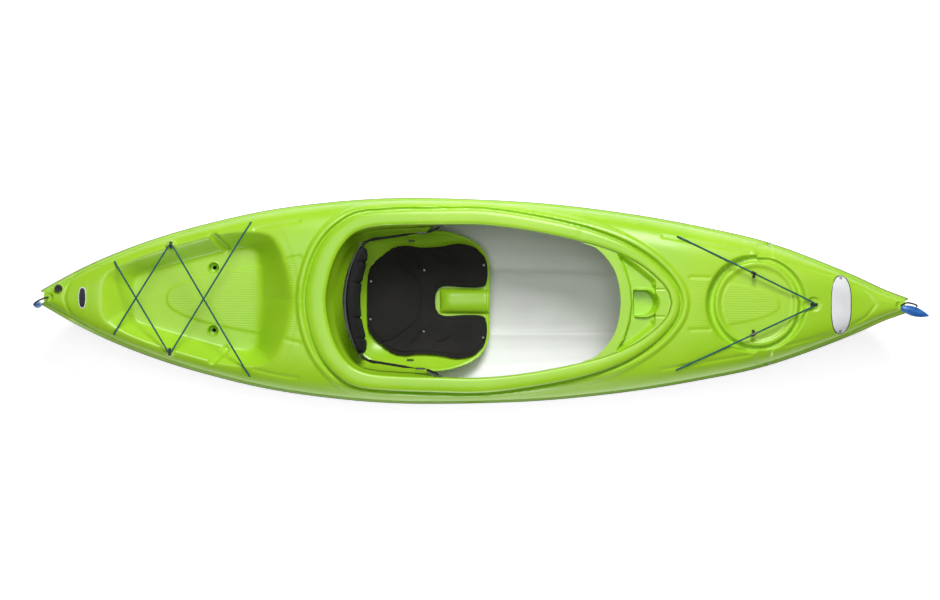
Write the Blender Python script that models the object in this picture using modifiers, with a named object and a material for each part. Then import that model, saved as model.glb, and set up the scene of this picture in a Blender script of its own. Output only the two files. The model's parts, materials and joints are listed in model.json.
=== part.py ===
"""Recreational sit-inside kayak, about ten feet long, as an assembly of separate pieces.

Metres. +X is the bow, +Y is port, +Z is up. The origin lies on the flat of the keel, amidships.
"""
import math

import bmesh
import bpy
import numpy as np
from mathutils import Matrix, Vector
from mathutils.bvhtree import BVHTree
from mathutils.geometry import delaunay_2d_cdt

# Overall sizes
LENGTH = 3.05
BEAM = 0.730
TIP_WIDTH = 0.050
WALL = 0.0045
GAP = 0.0003
SEAM_HEIGHT = 0.205
SHEER_RISE = 0.060
FLANGE_WIDTH = 0.009
FLANGE_THICKNESS = 0.004
DECK_RISE = 0.115
STATIONS = 30

# Plan outline, as (share of the half length, share of the half beam past the blunt tip)
PLAN = [(-1.0, 0.0), (-0.988, 0.032), (-0.911, 0.226), (-0.819, 0.415), (-0.723, 0.574), (-0.591, 0.744),
        (-0.487, 0.850), (-0.359, 0.935), (-0.131, 1.0), (0.013, 0.988), (0.155, 0.956), (0.296, 0.891),
        (0.403, 0.824), (0.524, 0.726), (0.666, 0.585), (0.807, 0.362), (0.879, 0.229), (0.951, 0.082),
        (0.988, 0.020), (1.0, 0.0)]
# Height of the keel over the flat, as (share of the half length, share of the seam height)
KEEL = [(-1.0, 0.95), (-0.985, 0.74), (-0.95, 0.50), (-0.88, 0.25), (-0.76, 0.075), (-0.60, 0.0),
        (0.60, 0.0), (0.76, 0.075), (0.88, 0.25), (0.95, 0.50), (0.985, 0.74), (1.0, 0.95)]
# Hull section, as (share of the half breadth, share of the depth), keel to seam
FULL_SECTION = [(0.0, 0.0), (0.30, 0.0), (0.345, 0.030), (0.50, 0.052), (0.66, 0.115), (0.80, 0.225),
                (0.895, 0.400), (0.955, 0.620), (0.985, 0.830), (1.0, 1.0)]
FINE_SECTION = [(0.0, 0.0), (0.10, 0.060), (0.20, 0.130), (0.33, 0.230), (0.46, 0.345), (0.60, 0.475),
                (0.73, 0.610), (0.85, 0.750), (0.94, 0.880), (1.0, 1.0)]
# Rise of the deck's centre line over the seam, as (share of the half length, share of the deck rise)
CROWN = [(-1.0, 0.19), (-0.92, 0.30), (-0.80, 0.50), (-0.65, 0.68), (-0.43, 0.86), (0.0, 0.96),
         (0.45, 1.08), (0.62, 0.90), (0.80, 0.60), (0.92, 0.36), (1.0, 0.19)]
DECK_SPREAD = [1.0, 0.988, 0.955, 0.895, 0.79, 0.62, 0.42, 0.20, 0.0]

# Cockpit
COAMING_TOP_REAR = 0.326
COAMING_TOP_FRONT = 0.356
COAMING_FRONT = 0.719
COAMING_REAR = -0.594
LIP_DROOP = 0.010
LIP_EDGE = 0.006
RISER_SETBACK = 0.013
SKIRT_DEPTH = 0.050
RISER_FOOT = 0.004
LIP_OUTLINE = [(-0.594, 0.0), (-0.588, 0.060), (-0.564, 0.146), (-0.526, 0.215), (-0.472, 0.269),
               (-0.407, 0.303), (-0.290, 0.315), (-0.150, 0.319), (0.020, 0.320), (0.182, 0.300),
               (0.367, 0.262), (0.508, 0.214), (0.605, 0.158), (0.670, 0.100), (0.708, 0.045), (0.719, 0.0)]
MOUTH_OUTLINE = [(-0.520, 0.0), (-0.515, 0.050), (-0.498, 0.120), (-0.468, 0.185), (-0.425, 0.232),
                 (-0.365, 0.255), (-0.270, 0.263), (-0.140, 0.266), (0.020, 0.267), (0.180, 0.250),
                 (0.340, 0.219), (0.460, 0.187), (0.560, 0.143), (0.630, 0.092), (0.672, 0.045), (0.686, 0.0)]
RING_POINTS = 27

# Console at the front of the cockpit
CONSOLE_THICKNESS = 0.004
CONSOLE_CLEARANCE = 0.0006
CONSOLE_DROP = 0.006
CONSOLE_REAR_EDGE = [(0.510, 0.0), (0.503, 0.062), (0.480, 0.126), (0.426, 0.187), (0.375, 0.206)]
TRAY_DEPTH = 0.014
TRAY_CORNERS = [(0.548, 0.0), (0.541, 0.065), (0.522, 0.128), (0.500, 0.160), (0.620, 0.088), (0.628, 0.068),
                (0.628, 0.0)]
HOLDER_REAR = 0.553
HOLDER_FRONT = 0.642
HOLDER_WIDTH = 0.092
HOLDER_DEPTH = 0.050
HOLDER_DRAIN = 0.002

# Rear tankwell
TANKWELL_DEPTH = 0.082
TANKWELL_RIM_HEIGHT = 0.300
TANKWELL_RIM = [(-1.310, 0.0), (-1.308, 0.060), (-1.290, 0.096), (-1.210, 0.136), (-1.117, 0.173),
                (-0.994, 0.208), (-0.900, 0.231), (-0.800, 0.235), (-0.735, 0.224), (-0.703, 0.186),
                (-0.676, 0.100), (-0.658, 0.0)]
TANKWELL_FLOOR = [(-1.210, 0.0), (-1.208, 0.055), (-1.188, 0.085), (-1.120, 0.106), (-1.050, 0.126),
                  (-0.900, 0.166), (-0.860, 0.176), (-0.800, 0.184), (-0.768, 0.172), (-0.760, 0.130),
                  (-0.756, 0.070), (-0.753, 0.0)]
WELL_X = -0.923
WELL_Y = 0.111
WELL_RADIUS = 0.0175
WELL_DEPTH = 0.030
WELL_HOLE_RADIUS = 0.0070
GROOVE_RADIUS = 0.014
GROOVE_START = (-0.937, 0.236)
GROOVE_END = (-0.878, 0.176)

# Round recess in the foredeck
DISH_X = 0.988
DISH_RADIUS = 0.171
DISH_RING_RADIUS = 0.148
DISH_FLOOR_HEIGHT = 0.306
DISH_RING_HEIGHT = 0.314
DISH_GROOVE_HEIGHT = 0.298
DISH_SEGMENTS = 36

# Tip pockets and handles
POCKET_INSET = 0.027
POCKET_RADIUS = 0.016
POCKET_DEPTH = 0.007
HANDLE_HOLE_RADIUS = 0.0034
HANDLE_CORD = 0.006
HANDLE_STUB = 0.0095
HANDLE_PIVOT_RADIUS = 0.0032
GRIP_LENGTH = 0.105
GRIP_DIAMETER = 0.030
BOW_GRIP_YAW = math.radians(-16.0)

# Drain
DRAIN_FROM_STERN = 0.066
DRAIN_Y = 0.032
DRAIN_CAP_RADIUS = 0.0135
DRAIN_CAP_HEIGHT = 0.006
DRAIN_SHANK_RADIUS = 0.0070
DRAIN_BUSHING_RADIUS = 0.0100
DRAIN_BUSHING_DEPTH = 0.016
DRAIN_SEAL_THICKNESS = 0.0016
DRAIN_BOSS_RADIUS = 0.0165

# Deck bungees
BUNGEE = 0.006
BUNGEE_LIFT = 0.0009
BUNGEE_HOLE_CLEARANCE = 0.0006
KNOT_RADIUS = 0.0058
FRONT_EYE_X = 1.188
FRONT_BUNGEE_X = 0.7075
FRONT_BUNGEE_EDGE = 0.0455
REAR_EYE_X = -1.067
REAR_EYE_Y = 0.187
REAR_BUNGEE_REAR_X = -1.265
REAR_BUNGEE_REAR_EDGE = 0.0180
REAR_BUNGEE_FRONT_X = -0.787
REAR_BUNGEE_FRONT_EDGE = 0.0240
EYE_LENGTH = 0.026
EYE_WIDTH = 0.010
EYE_BASE = 0.0025
EYE_RING_RADIUS = 0.0075
EYE_WIRE_RADIUS = 0.0022
EYE_BOSS_RADIUS = 0.017
EYE_BOSS_HEIGHT = 0.294
EYE_POCKET_RADIUS = 0.024
EYE_POCKET_DEPTH = 0.005
HOOK_X = 0.974
HOOK_LENGTH = 0.016
HOOK_WALL = 0.0026
HOOK_BALL_RADIUS = 0.0068
HOOK_REACH = 0.012

# Seat
SEAT_FLOOR = 0.056
SEAT_WALL = 0.004
SEAT_SPACING = 0.036
SEAT_OUTLINE = [(-0.452, 0.0), (-0.449, 0.070), (-0.437, 0.135), (-0.405, 0.190), (-0.340, 0.228),
                (-0.240, 0.243), (-0.138, 0.249), (-0.060, 0.236), (0.008, 0.205), (0.042, 0.165),
                (0.055, 0.120), (0.055, 0.060), (0.055, 0.0)]
SEAT_FOOT_Y = 0.075
SEAT_FOOT_WIDTH = 0.040
SEAT_FOOT_REAR = -0.330
SEAT_FOOT_FRONT = 0.020
HUMP_HALF_WIDTH = 0.040
HUMP_REAR = -0.118
HUMP_HEIGHT = 0.022
CUSHION_THICKNESS = 0.022
CUSHION_EDGE = 0.007
CUSHION_SPACING = 0.0225
CUSHION_ROUND = 0.026
CUSHION_CHANNEL = 0.0045
CUSHION_CHANNEL_WIDTH = 0.007
CUSHION_PANEL = [(-0.197, 0.0), (-0.199, 0.045), (-0.212, 0.080), (-0.248, 0.110), (-0.290, 0.140),
                 (-0.330, 0.152)]
CUSHION_OUTLINE = [(-0.393, 0.0), (-0.391, 0.080), (-0.380, 0.122), (-0.345, 0.160), (-0.300, 0.192),
                   (-0.250, 0.203), (-0.190, 0.198), (-0.120, 0.203), (-0.060, 0.212), (0.000, 0.200),
                   (0.038, 0.165), (0.051, 0.118), (0.047, 0.070), (0.028, 0.052), (-0.030, 0.049),
                   (-0.102, 0.051), (-0.129, 0.034), (-0.134, 0.0)]
SNAP_RADIUS = 0.0055
SNAP_HEIGHT = 0.0025
SNAP_PLACES = {"rear": (-0.372, 0.068), "middle": (-0.181, 0.110), "front": (0.032, 0.130)}

# Backrest
BACKREST_X = -0.437
BACKREST_BOW = 0.050
BACKREST_HALF_WIDTH = 0.195
BACKREST_SHELL = 0.004
BACKREST_PAD = 0.030
BACKREST_PAD_EDGE = 0.010
BACKREST_PAD_GAP = 0.0014
BACKREST_LEAN = 0.018
BACKREST_SPACING = 0.036
BACKREST_OUTLINE = [(0.134, 0.0), (0.134, 0.115), (0.150, 0.165), (0.190, 0.188), (0.250, 0.195),
                    (0.296, 0.190), (0.314, 0.165), (0.318, 0.100), (0.318, 0.0)]
PAD_OUTLINE = [(0.142, 0.0), (0.142, 0.105), (0.160, 0.158), (0.200, 0.181), (0.250, 0.188),
               (0.292, 0.183), (0.308, 0.158), (0.312, 0.095), (0.312, 0.0)]
HINGE_Y = 0.105
HINGE_Z = 0.122
PEDESTAL_TOP = 0.100
PEDESTAL_LENGTH = 0.030
PEDESTAL_WIDTH = 0.044
HINGE_PIN_RADIUS = 0.004
HINGE_CLEARANCE = 0.0003
KNUCKLE_RADIUS = 0.0085
KNUCKLE_WIDTH = 0.020
EAR_THICKNESS = 0.004
BRACKET_THICKNESS = 0.004

# Backrest straps
WEBBING_WIDTH = 0.025
WEBBING_THICKNESS = 0.0018
STRAP_BELOW_TOP = 0.034
STRAP_KNEE = (-0.285, 0.2255)
STRAP_LUG = 0.007
BUCKLE_PLACE = (-0.188, 0.238)
BUCKLE_SIZE = (0.034, 0.006, 0.032)
ANCHOR_X = -0.136
ANCHOR_SIZE = (0.030, 0.004, 0.026)

# Foot braces
RAIL_CENTRE_X = 0.560
RAIL_LENGTH = 0.380
RAIL_HEIGHT = 0.118
RAIL_WIDTH = 0.026
RAIL_DEPTH = 0.010
RAIL_STANDOFF = 0.012
PEDAL_WIDTH = 0.075
PEDAL_HEIGHT = 0.100
PEDAL_THICKNESS = 0.006
SADDLE_LENGTH = 0.060
SADDLE_WALL = 0.0035
RUN_CLEARANCE = 0.0005
SCREW_RADIUS = 0.003
SCREW_HEAD_RADIUS = 0.006
SCREW_HEAD_HEIGHT = 0.0025

# Flotation blocks
FOAM_WIDTH = 0.060
BOW_FOAM = (1.020, 1.240)
STERN_FOAM = (-1.420, -1.320)

HALF_LENGTH = LENGTH / 2
HALF_BEAM = BEAM / 2
SIDES = (("left", 1), ("right", -1))

LIME = ("lime_plastic", (0.38, 0.72, 0.04), 0.45, 0.0)
WHITE = ("white_plastic", (0.78, 0.80, 0.78), 0.45, 0.0)
BLACK = ("black_plastic", (0.015, 0.015, 0.015), 0.5, 0.0)
FOAM_BLACK = ("cushion_foam", (0.012, 0.011, 0.010), 0.85, 0.0)
WEBBING = ("webbing", (0.010, 0.010, 0.012), 0.8, 0.0)
TEAL = ("bungee_cord", (0.01, 0.12, 0.10), 0.7, 0.0)
BLUE = ("blue_plastic", (0.01, 0.11, 0.40), 0.4, 0.0)
STEEL = ("stainless_steel", (0.60, 0.60, 0.60), 0.3, 1.0)
ALUMINIUM = ("anodised_rail", (0.05, 0.05, 0.05), 0.4, 0.8)
RUBBER = ("seal_rubber", (0.02, 0.02, 0.02), 0.8, 0.0)
EPS = ("flotation_foam", (0.85, 0.85, 0.83), 0.9, 0.0)


# Scene and object helpers
for leftover in list(bpy.data.objects):
    bpy.data.objects.remove(leftover, do_unlink=True)


def new_collection(name):
    collection = bpy.data.collections.new(name)
    bpy.context.scene.collection.children.link(collection)
    return collection


kayak = new_collection("kayak")
cutters = new_collection("cutters")


def material(finish):
    name, colour, roughness, metallic = finish
    found = bpy.data.materials.get(name)
    if found:
        return found
    made = bpy.data.materials.new(name)
    made.use_nodes = True
    shader = made.node_tree.nodes["Principled BSDF"]
    shader.inputs["Base Color"].default_value = (*colour, 1.0)
    shader.inputs["Roughness"].default_value = roughness
    shader.inputs["Metallic"].default_value = metallic
    return made


def add_object(name, mesh, finish=None):
    """Link a mesh as a finished piece, or as a cutter when it has no finish."""
    made = bpy.data.objects.new(name, mesh)
    if finish:
        kayak.objects.link(made)
        mesh.materials.append(material(finish))
    else:
        cutters.objects.link(made)
        made.hide_render = True
        made.display_type = "WIRE"
    return made


def mesh_from(name, bm):
    """A mesh of flat triangles, because a Boolean goes wrong on faces that aren't flat."""
    bmesh.ops.triangulate(bm, faces=bm.faces)
    bmesh.ops.recalc_face_normals(bm, faces=bm.faces)
    mesh = bpy.data.meshes.new(name)
    bm.to_mesh(mesh)
    bm.free()
    return mesh


def smooth_shade(piece, angle=35):
    piece.data.shade_smooth()
    piece.data.set_sharp_from_angle(angle=math.radians(angle))
    return piece


def boolean(piece, other, operation):
    step = piece.modifiers.new(f"{operation.lower()} {other.name}", "BOOLEAN")
    step.operation = operation
    step.object = other
    step.solver = "EXACT"


def cut(piece, *tools):
    for tool in tools:
        boolean(piece, tool, "DIFFERENCE")


def join(piece, *additions):
    for addition in additions:
        boolean(piece, addition, "UNION")


def evaluated_bmesh(piece):
    """The piece with its modifiers and its placing, as a bmesh in world space."""
    graph = bpy.context.evaluated_depsgraph_get()
    evaluated = piece.evaluated_get(graph)
    bm = bmesh.new()
    bm.from_mesh(evaluated.to_mesh())
    evaluated.to_mesh_clear()
    bm.transform(piece.matrix_world)
    return bm


def surface(piece):
    bm = evaluated_bmesh(piece)
    tree = BVHTree.FromBMesh(bm)
    bm.free()
    return tree


def height_on(tree, x, y, start, down=True):
    """Height where a vertical ray from the start height meets a surface."""
    for aside in (0.0, 0.0003, -0.0003):
        hit = tree.ray_cast(Vector((x + aside, y + aside, start)), Vector((0, 0, -1 if down else 1)))[0]
        if hit:
            return hit.z


# Curves and outlines
def smooth(table, x):
    """Smooth curve through a table of (position, value) pairs."""
    xs, ys = (np.array(column, float) for column in zip(*table))
    slopes = np.gradient(ys, xs)
    steps = np.diff(ys) / np.diff(xs)
    flat = np.concatenate(([False], steps[:-1] * steps[1:] <= 0, [False]))
    slopes[flat] = 0.0
    i = int(np.clip(np.searchsorted(xs, x) - 1, 0, len(xs) - 2))
    span = xs[i + 1] - xs[i]
    t = np.clip((x - xs[i]) / span, 0.0, 1.0)
    ends = (2 * t**3 - 3 * t**2 + 1) * ys[i] + (3 * t**2 - 2 * t**3) * ys[i + 1]
    bends = (t**3 - 2 * t**2 + t) * slopes[i] + (t**3 - t**2) * slopes[i + 1]
    return float(ends + span * bends)


def resample(points, count):
    """Points at even distances along a smooth curve through the given ones."""
    given = np.array(points, float)
    padded = np.vstack([given[0], given, given[-1]])
    fine = []
    for i in range(len(given) - 1):
        p0, p1, p2, p3 = padded[i:i + 4]
        for t in np.linspace(0, 1, 12, endpoint=False):
            fine.append(0.5 * (2 * p1 + (p2 - p0) * t + (2 * p0 - 5 * p1 + 4 * p2 - p3) * t**2
                               + (3 * p1 - p0 - 3 * p2 + p3) * t**3))
    fine.append(given[-1])
    fine = np.array(fine)
    run = np.concatenate(([0], np.cumsum(np.linalg.norm(np.diff(fine, axis=0), axis=1))))
    wanted = np.linspace(0, run[-1], count)
    return np.column_stack([np.interp(wanted, run, fine[:, k]) for k in range(given.shape[1])])


def closed_outline(half, count):
    """Outline that mirrors a half outline over the centre line, whose ends lie on it."""
    port = resample(half, count)
    starboard = port[-2:0:-1] * np.array([1, -1])
    return np.vstack([port, starboard])


def grown(outline, distance):
    """The outline moved outwards by a distance."""
    ahead = np.roll(outline, -1, axis=0) - np.roll(outline, 1, axis=0)
    ahead /= np.linalg.norm(ahead, axis=1)[:, None]
    area = np.sum(outline[:, 0] * np.roll(outline[:, 1], -1) - np.roll(outline[:, 0], -1) * outline[:, 1])
    outward = np.column_stack([ahead[:, 1], -ahead[:, 0]]) * (1 if area > 0 else -1)
    return outline + distance * outward


# Hull lines
def half_breadth(share):
    blunt = TIP_WIDTH / 2
    return blunt + (HALF_BEAM - blunt) * smooth(PLAN, share)


def seam_height(share):
    return SEAM_HEIGHT + SHEER_RISE * abs(share) ** 2.2


def keel_height(share):
    return SEAM_HEIGHT * smooth(KEEL, share)


def side_plan(share, inset):
    """Place and half breadth of the moulded side, a set distance inside the flange's edge."""
    return share * (HALF_LENGTH - 1.4 * inset), half_breadth(share) - inset


def fullness(share):
    """1 amidships, falling to 0 at the tips, where the sections turn fine."""
    return 1 - smooth([(0.0, 0.0), (0.45, 0.05), (0.75, 0.45), (1.0, 1.0)], abs(share))


def deck_rise(share, spread):
    full = fullness(share)
    power = 2.2 + 2.8 * full
    root = 1.35 + 1.15 * full
    return DECK_RISE * smooth(CROWN, share) * (1 - spread**power) ** (1 / root)


def hull_section(share):
    full = fullness(share)
    return [tuple(full * a + (1 - full) * b for a, b in zip(wide, fine))
            for wide, fine in zip(FULL_SECTION, FINE_SECTION)]


def station_shares():
    return [math.sin(math.pi / 2 * (2 * i / STATIONS - 1)) * 0.35 + 0.65 * (2 * i / STATIONS - 1)
            for i in range(STATIONS + 1)]


def loft(name, rings, closed_ends=True):
    """Skin over rings of equal point counts, closed round each ring and over the ends."""
    bm = bmesh.new()
    rows = [[bm.verts.new(point) for point in ring] for ring in rings]
    for near, far in zip(rows, rows[1:]):
        for k in range(len(near)):
            m = (k + 1) % len(near)
            bm.faces.new((near[k], near[m], far[m], far[k]))
    if closed_ends:
        bm.faces.new(rows[0])
        bm.faces.new(rows[-1])
    return mesh_from(name, bm)


def deck_volume(name, inset):
    """The deck as a solid: its outer form, or with an inset the hollow under its skin."""
    rings = []
    for share in station_shares():
        seam = seam_height(share)
        x_side, breadth = side_plan(share, FLANGE_WIDTH + inset)
        half = [(x_side, breadth * spread, seam + FLANGE_THICKNESS + deck_rise(share, spread) - inset)
                for spread in DECK_SPREAD]
        if inset:
            foot = [(x_side, breadth, seam - TANKWELL_DEPTH)]
        else:
            x_edge, edge = side_plan(share, 0)
            foot = [(x_edge, edge, seam), (x_edge, edge, seam + FLANGE_THICKNESS)]
        port = foot + half
        rings.append(port + [(x, -y, z) for x, y, z in reversed(port[:-1])])
    return loft(name, rings)


def hull_volume(name, inset):
    """The hull as a solid: its outer form, or with an inset the hollow inside its skin."""
    rings = []
    for share in station_shares():
        seam = seam_height(share) - GAP
        keel = keel_height(share)
        x_side, breadth = side_plan(share, FLANGE_WIDTH + inset)
        under = seam - FLANGE_THICKNESS
        half = [(x_side, breadth * a, keel + inset + (under - keel - inset) * b)
                for a, b in hull_section(share)]
        if inset:
            top = [(x_side, breadth, seam + 4 * WALL)]
        else:
            x_edge, edge = side_plan(share, 0)
            top = [(x_edge, edge, under), (x_edge, edge, seam)]
        port = half + top
        rings.append(port + [(x, -y, z) for x, y, z in reversed(port[1:])])
    return loft(name, rings)


# Solid helpers
def prism(name, outline, low, high, finish=None):
    rings = [[(x, y, z) for x, y in outline] for z in (low, high)]
    return add_object(name, loft(name, rings), finish)


def stacked(name, levels, finish=None):
    """Solid through plan outlines at rising heights."""
    rings = [[(x, y, z) for x, y in outline] for outline, z in levels]
    return add_object(name, loft(name, rings), finish)


def cylinder(name, centre, radius, depth, finish=None, segments=16, axis=(0, 0, 1), top_radius=None):
    """Upright cylinder or cone, or one turned to another axis."""
    bm = bmesh.new()
    bmesh.ops.create_cone(bm, cap_ends=True, segments=segments, radius1=radius,
                          radius2=radius if top_radius is None else top_radius, depth=depth)
    turn = Vector((0, 0, 1)).rotation_difference(Vector(axis)).to_matrix().to_4x4()
    bm.transform(Matrix.Translation(Vector(centre)) @ turn)
    return add_object(name, mesh_from(name, bm), finish)


def box(name, low, high, finish=None, bevel=0.0):
    bm = bmesh.new()
    bmesh.ops.create_cube(bm, size=1.0)
    size = Vector(high) - Vector(low)
    middle = (Vector(high) + Vector(low)) / 2
    bm.transform(Matrix.Translation(middle) @ Matrix.Diagonal((*size, 1.0)))
    made = add_object(name, mesh_from(name, bm), finish)
    if bevel:
        rounding = made.modifiers.new("rounded edges", "BEVEL")
        rounding.width = bevel
        rounding.segments = 1
        rounding.limit_method = "ANGLE"
    return made


def turned(name, profile, centre, finish=None, segments=24):
    """Body turned from a profile of (radius, height) pairs that starts and ends on the axis."""
    bm = bmesh.new()
    points = [Vector((radius, 0, height)) for radius, height in profile]
    verts = [bm.verts.new(point) for point in points]
    edges = [bm.edges.new(pair) for pair in zip(verts, verts[1:])]
    bmesh.ops.spin(bm, geom=verts + edges, cent=(0, 0, 0), axis=(0, 0, 1), dvec=(0, 0, 0),
                   angle=2 * math.pi, steps=segments, use_merge=True)
    bmesh.ops.remove_doubles(bm, verts=bm.verts, dist=1e-6)
    bm.transform(Matrix.Translation(Vector(centre)))
    return add_object(name, mesh_from(name, bm), finish)


def tube(name, points, radius, finish=None, sides=8):
    """Round tube through points, its end faces square to the run."""
    path = [Vector(point) for point in points]
    aims = [path[1] - path[0]]
    aims += [(after - before) for before, after in zip(path, path[2:])]
    aims.append(path[-1] - path[-2])
    aims = [aim.normalized() for aim in aims]
    turns = [aims[0].cross(aim) for aim in aims] + [aims[0].orthogonal()]
    side = next(turn for turn in turns if turn.length > 0.05).normalized()
    rings = []
    for place, aim in zip(path, aims):
        side = (side - aim * side.dot(aim)).normalized()
        other = aim.cross(side)
        rings.append([place + radius * (math.cos(a) * side + math.sin(a) * other)
                      for a in (2 * math.pi * k / sides for k in range(sides))])
    return add_object(name, loft(name, rings), finish)


def eased(points, reach):
    """The path with two points in place of each sharp corner."""
    path = [Vector(point) for point in points]
    made = [path[0]]
    for before, corner, after in zip(path, path[1:], path[2:]):
        come, go = (corner - before).normalized(), (after - corner).normalized()
        made += [corner - reach * come, corner + reach * go] if come.dot(go) < 0.75 else [corner]
    return made + [path[-1]]


def sheet_between(name, outline, spacing, low, high, finish, place=None, creases=()):
    """Closed body between two height functions over a plan outline, with points along any creases."""
    place = place or (lambda x, y, z: (x, y, z))
    edge_count = len(outline)
    grid = []
    x_low, y_low = outline.min(axis=0)
    x_high, y_high = outline.max(axis=0)
    rows = int((y_high - y_low) / spacing) + 1
    inner = grown(outline, -0.55 * spacing)
    for j in range(-rows, rows + 1):
        y = j * spacing * 0.87
        shift = 0.5 * spacing * (j % 2)
        for i in range(int((x_high - x_low) / spacing) + 2):
            x = x_low + i * spacing + shift
            clear = all(np.min(np.hypot(line[:, 0] - x, line[:, 1] - y)) > 0.5 * spacing for line in creases)
            if clear and inside(inner, x, y):
                grid.append((x, y))
    grid += [tuple(p) for line in creases for p in line]
    flat = [Vector(p) for p in outline] + [Vector(p) for p in grid]
    loop = [(k, (k + 1) % edge_count) for k in range(edge_count)]
    places, _, faces, *_ = delaunay_2d_cdt(flat, loop, [], 1, 1e-6)
    bm = bmesh.new()
    top = [bm.verts.new(place(p.x, p.y, high(p.x, p.y))) for p in places]
    bottom = [bm.verts.new(place(p.x, p.y, low(p.x, p.y))) for p in places]
    for face in faces:
        bm.faces.new([top[k] for k in face])
        bm.faces.new([bottom[k] for k in reversed(face)])
    for k, m in loop:
        bm.faces.new((top[k], bottom[k], bottom[m], top[m]))
    return smooth_shade(add_object(name, mesh_from(name, bm), finish), 50)


def inside(outline, x, y):
    x1, y1 = outline.T
    x2, y2 = np.roll(outline, -1, axis=0).T
    crossing = (y1 > y) != (y2 > y)
    where = x1 + (y - y1) * (x2 - x1) / np.where(y2 == y1, 1e-12, y2 - y1)
    return bool(np.count_nonzero(crossing & (x < where)) % 2)


def edge_distance(outline, x, y):
    start = outline
    run = np.roll(outline, -1, axis=0) - outline
    share = np.clip(((x - start[:, 0]) * run[:, 0] + (y - start[:, 1]) * run[:, 1])
                    / np.sum(run**2, axis=1), 0, 1)
    near = start + share[:, None] * run
    return float(np.min(np.hypot(near[:, 0] - x, near[:, 1] - y)))


def deck_height(x, y):
    """Height of the plain deck, before anything is sunk into it or raised on it."""
    share = x / (HALF_LENGTH - 1.4 * FLANGE_WIDTH)
    spread = min(abs(y) / side_plan(share, FLANGE_WIDTH)[1], 1.0)
    return seam_height(share) + FLANGE_THICKNESS + deck_rise(share, spread)


def deck_breadth(x):
    """Half breadth of the moulded deck at its foot."""
    return side_plan(x / (HALF_LENGTH - 1.4 * FLANGE_WIDTH), FLANGE_WIDTH)[1]


def coaming_top(x):
    share = (x - COAMING_REAR) / (COAMING_FRONT - COAMING_REAR)
    return COAMING_TOP_REAR + share * (COAMING_TOP_FRONT - COAMING_TOP_REAR)


# Hull
def make_hull():
    hull = add_object("hull_shell", hull_volume("hull_shell", 0), WHITE)
    cut(hull, add_object("hull_hollow", hull_volume("hull_hollow", WALL)))
    return hull


# Deck
def coaming_ring():
    """Inverted trough round the cockpit: inner skirt, lip and outer riser, one wall thick."""
    mouth = closed_outline(MOUTH_OUTLINE, RING_POINTS)
    lip = closed_outline(LIP_OUTLINE, RING_POINTS)
    riser = grown(lip, -RISER_SETBACK)
    inner_riser = grown(riser, -WALL)
    skirt = grown(mouth, WALL)
    rings = []
    for k in range(len(mouth)):
        top = coaming_top(0.5 * (mouth[k][0] + lip[k][0]))
        span = lip[k] - mouth[k]
        foot = deck_height(*riser[k]) - WALL - RISER_FOOT - top
        section = [(mouth[k], -SKIRT_DEPTH), (mouth[k], -LIP_DROOP), (mouth[k] + 0.16 * span, -0.002),
                   (mouth[k] + 0.45 * span, 0.0), (mouth[k] + 0.82 * span, -0.003), (lip[k], -LIP_DROOP),
                   (lip[k], -LIP_DROOP - LIP_EDGE), (riser[k], -LIP_DROOP - 0.5 * LIP_EDGE),
                   (riser[k], foot), (inner_riser[k], foot),
                   (inner_riser[k], -LIP_DROOP), (mouth[k] + 0.5 * span, -WALL - 0.001),
                   (skirt[k], -LIP_DROOP - WALL), (skirt[k], -SKIRT_DEPTH)]
        rings.append([(place[0], place[1], top + rise) for place, rise in section])
    bm = bmesh.new()
    rows = [[bm.verts.new(point) for point in ring] for ring in rings]
    for k, near in enumerate(rows):
        far = rows[(k + 1) % len(rows)]
        for j in range(len(near)):
            m = (j + 1) % len(near)
            bm.faces.new((near[j], near[m], far[m], far[j]))
    return add_object("coaming_ring", mesh_from("coaming_ring", bm))


def tankwell_tool(name, inset):
    rim = grown(closed_outline(TANKWELL_RIM, 20), inset)
    floor = grown(closed_outline(TANKWELL_FLOOR, 20), inset)
    floor_height = TANKWELL_RIM_HEIGHT - TANKWELL_DEPTH
    over = 1.45
    mouth = floor + over * (rim - floor)
    return stacked(name, [(floor, floor_height - inset),
                          (mouth, floor_height - inset + over * TANKWELL_DEPTH)])


def dish_tool(name, inset):
    ring_height = DISH_RING_HEIGHT - inset
    floor_height = DISH_FLOOR_HEIGHT - inset
    groove = DISH_GROOVE_HEIGHT - inset
    top = COAMING_TOP_FRONT + 0.02
    ring = DISH_RING_RADIUS
    corner = 0.41 * inset
    profile = [(0, floor_height), (ring - 0.024 + corner, floor_height), (ring - 0.016 + corner, ring_height),
               (ring - 0.006 - corner, ring_height), (ring + 0.002 - corner, groove),
               (DISH_RADIUS - 0.008 + corner, groove), (DISH_RADIUS + inset, ring_height),
               (DISH_RADIUS + inset, top), (0, top)]
    return turned(name, profile, (DISH_X, 0, 0), segments=DISH_SEGMENTS)


def well_tools(floor_height):
    """Blind wells in the tankwell floor with a hole through each bottom, and their outer walls."""
    bores, walls, holes = [], [], []
    for side, sign in SIDES:
        x, y = WELL_X, sign * WELL_Y
        top = floor_height + 0.004
        bottom = floor_height - WELL_DEPTH
        bores.append(cylinder(f"well_bore_{side}", (x, y, (top + bottom) / 2), WELL_RADIUS, top - bottom))
        walls.append(cylinder(f"well_wall_{side}", (x, y, (top - 0.006 + bottom - WALL) / 2),
                              WELL_RADIUS + WALL, top - 0.006 - bottom + WALL))
        holes.append(cylinder(f"well_hole_{side}", (x, y, bottom), WELL_HOLE_RADIUS, 4 * WALL, segments=12))
    return bores, walls, holes


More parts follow.
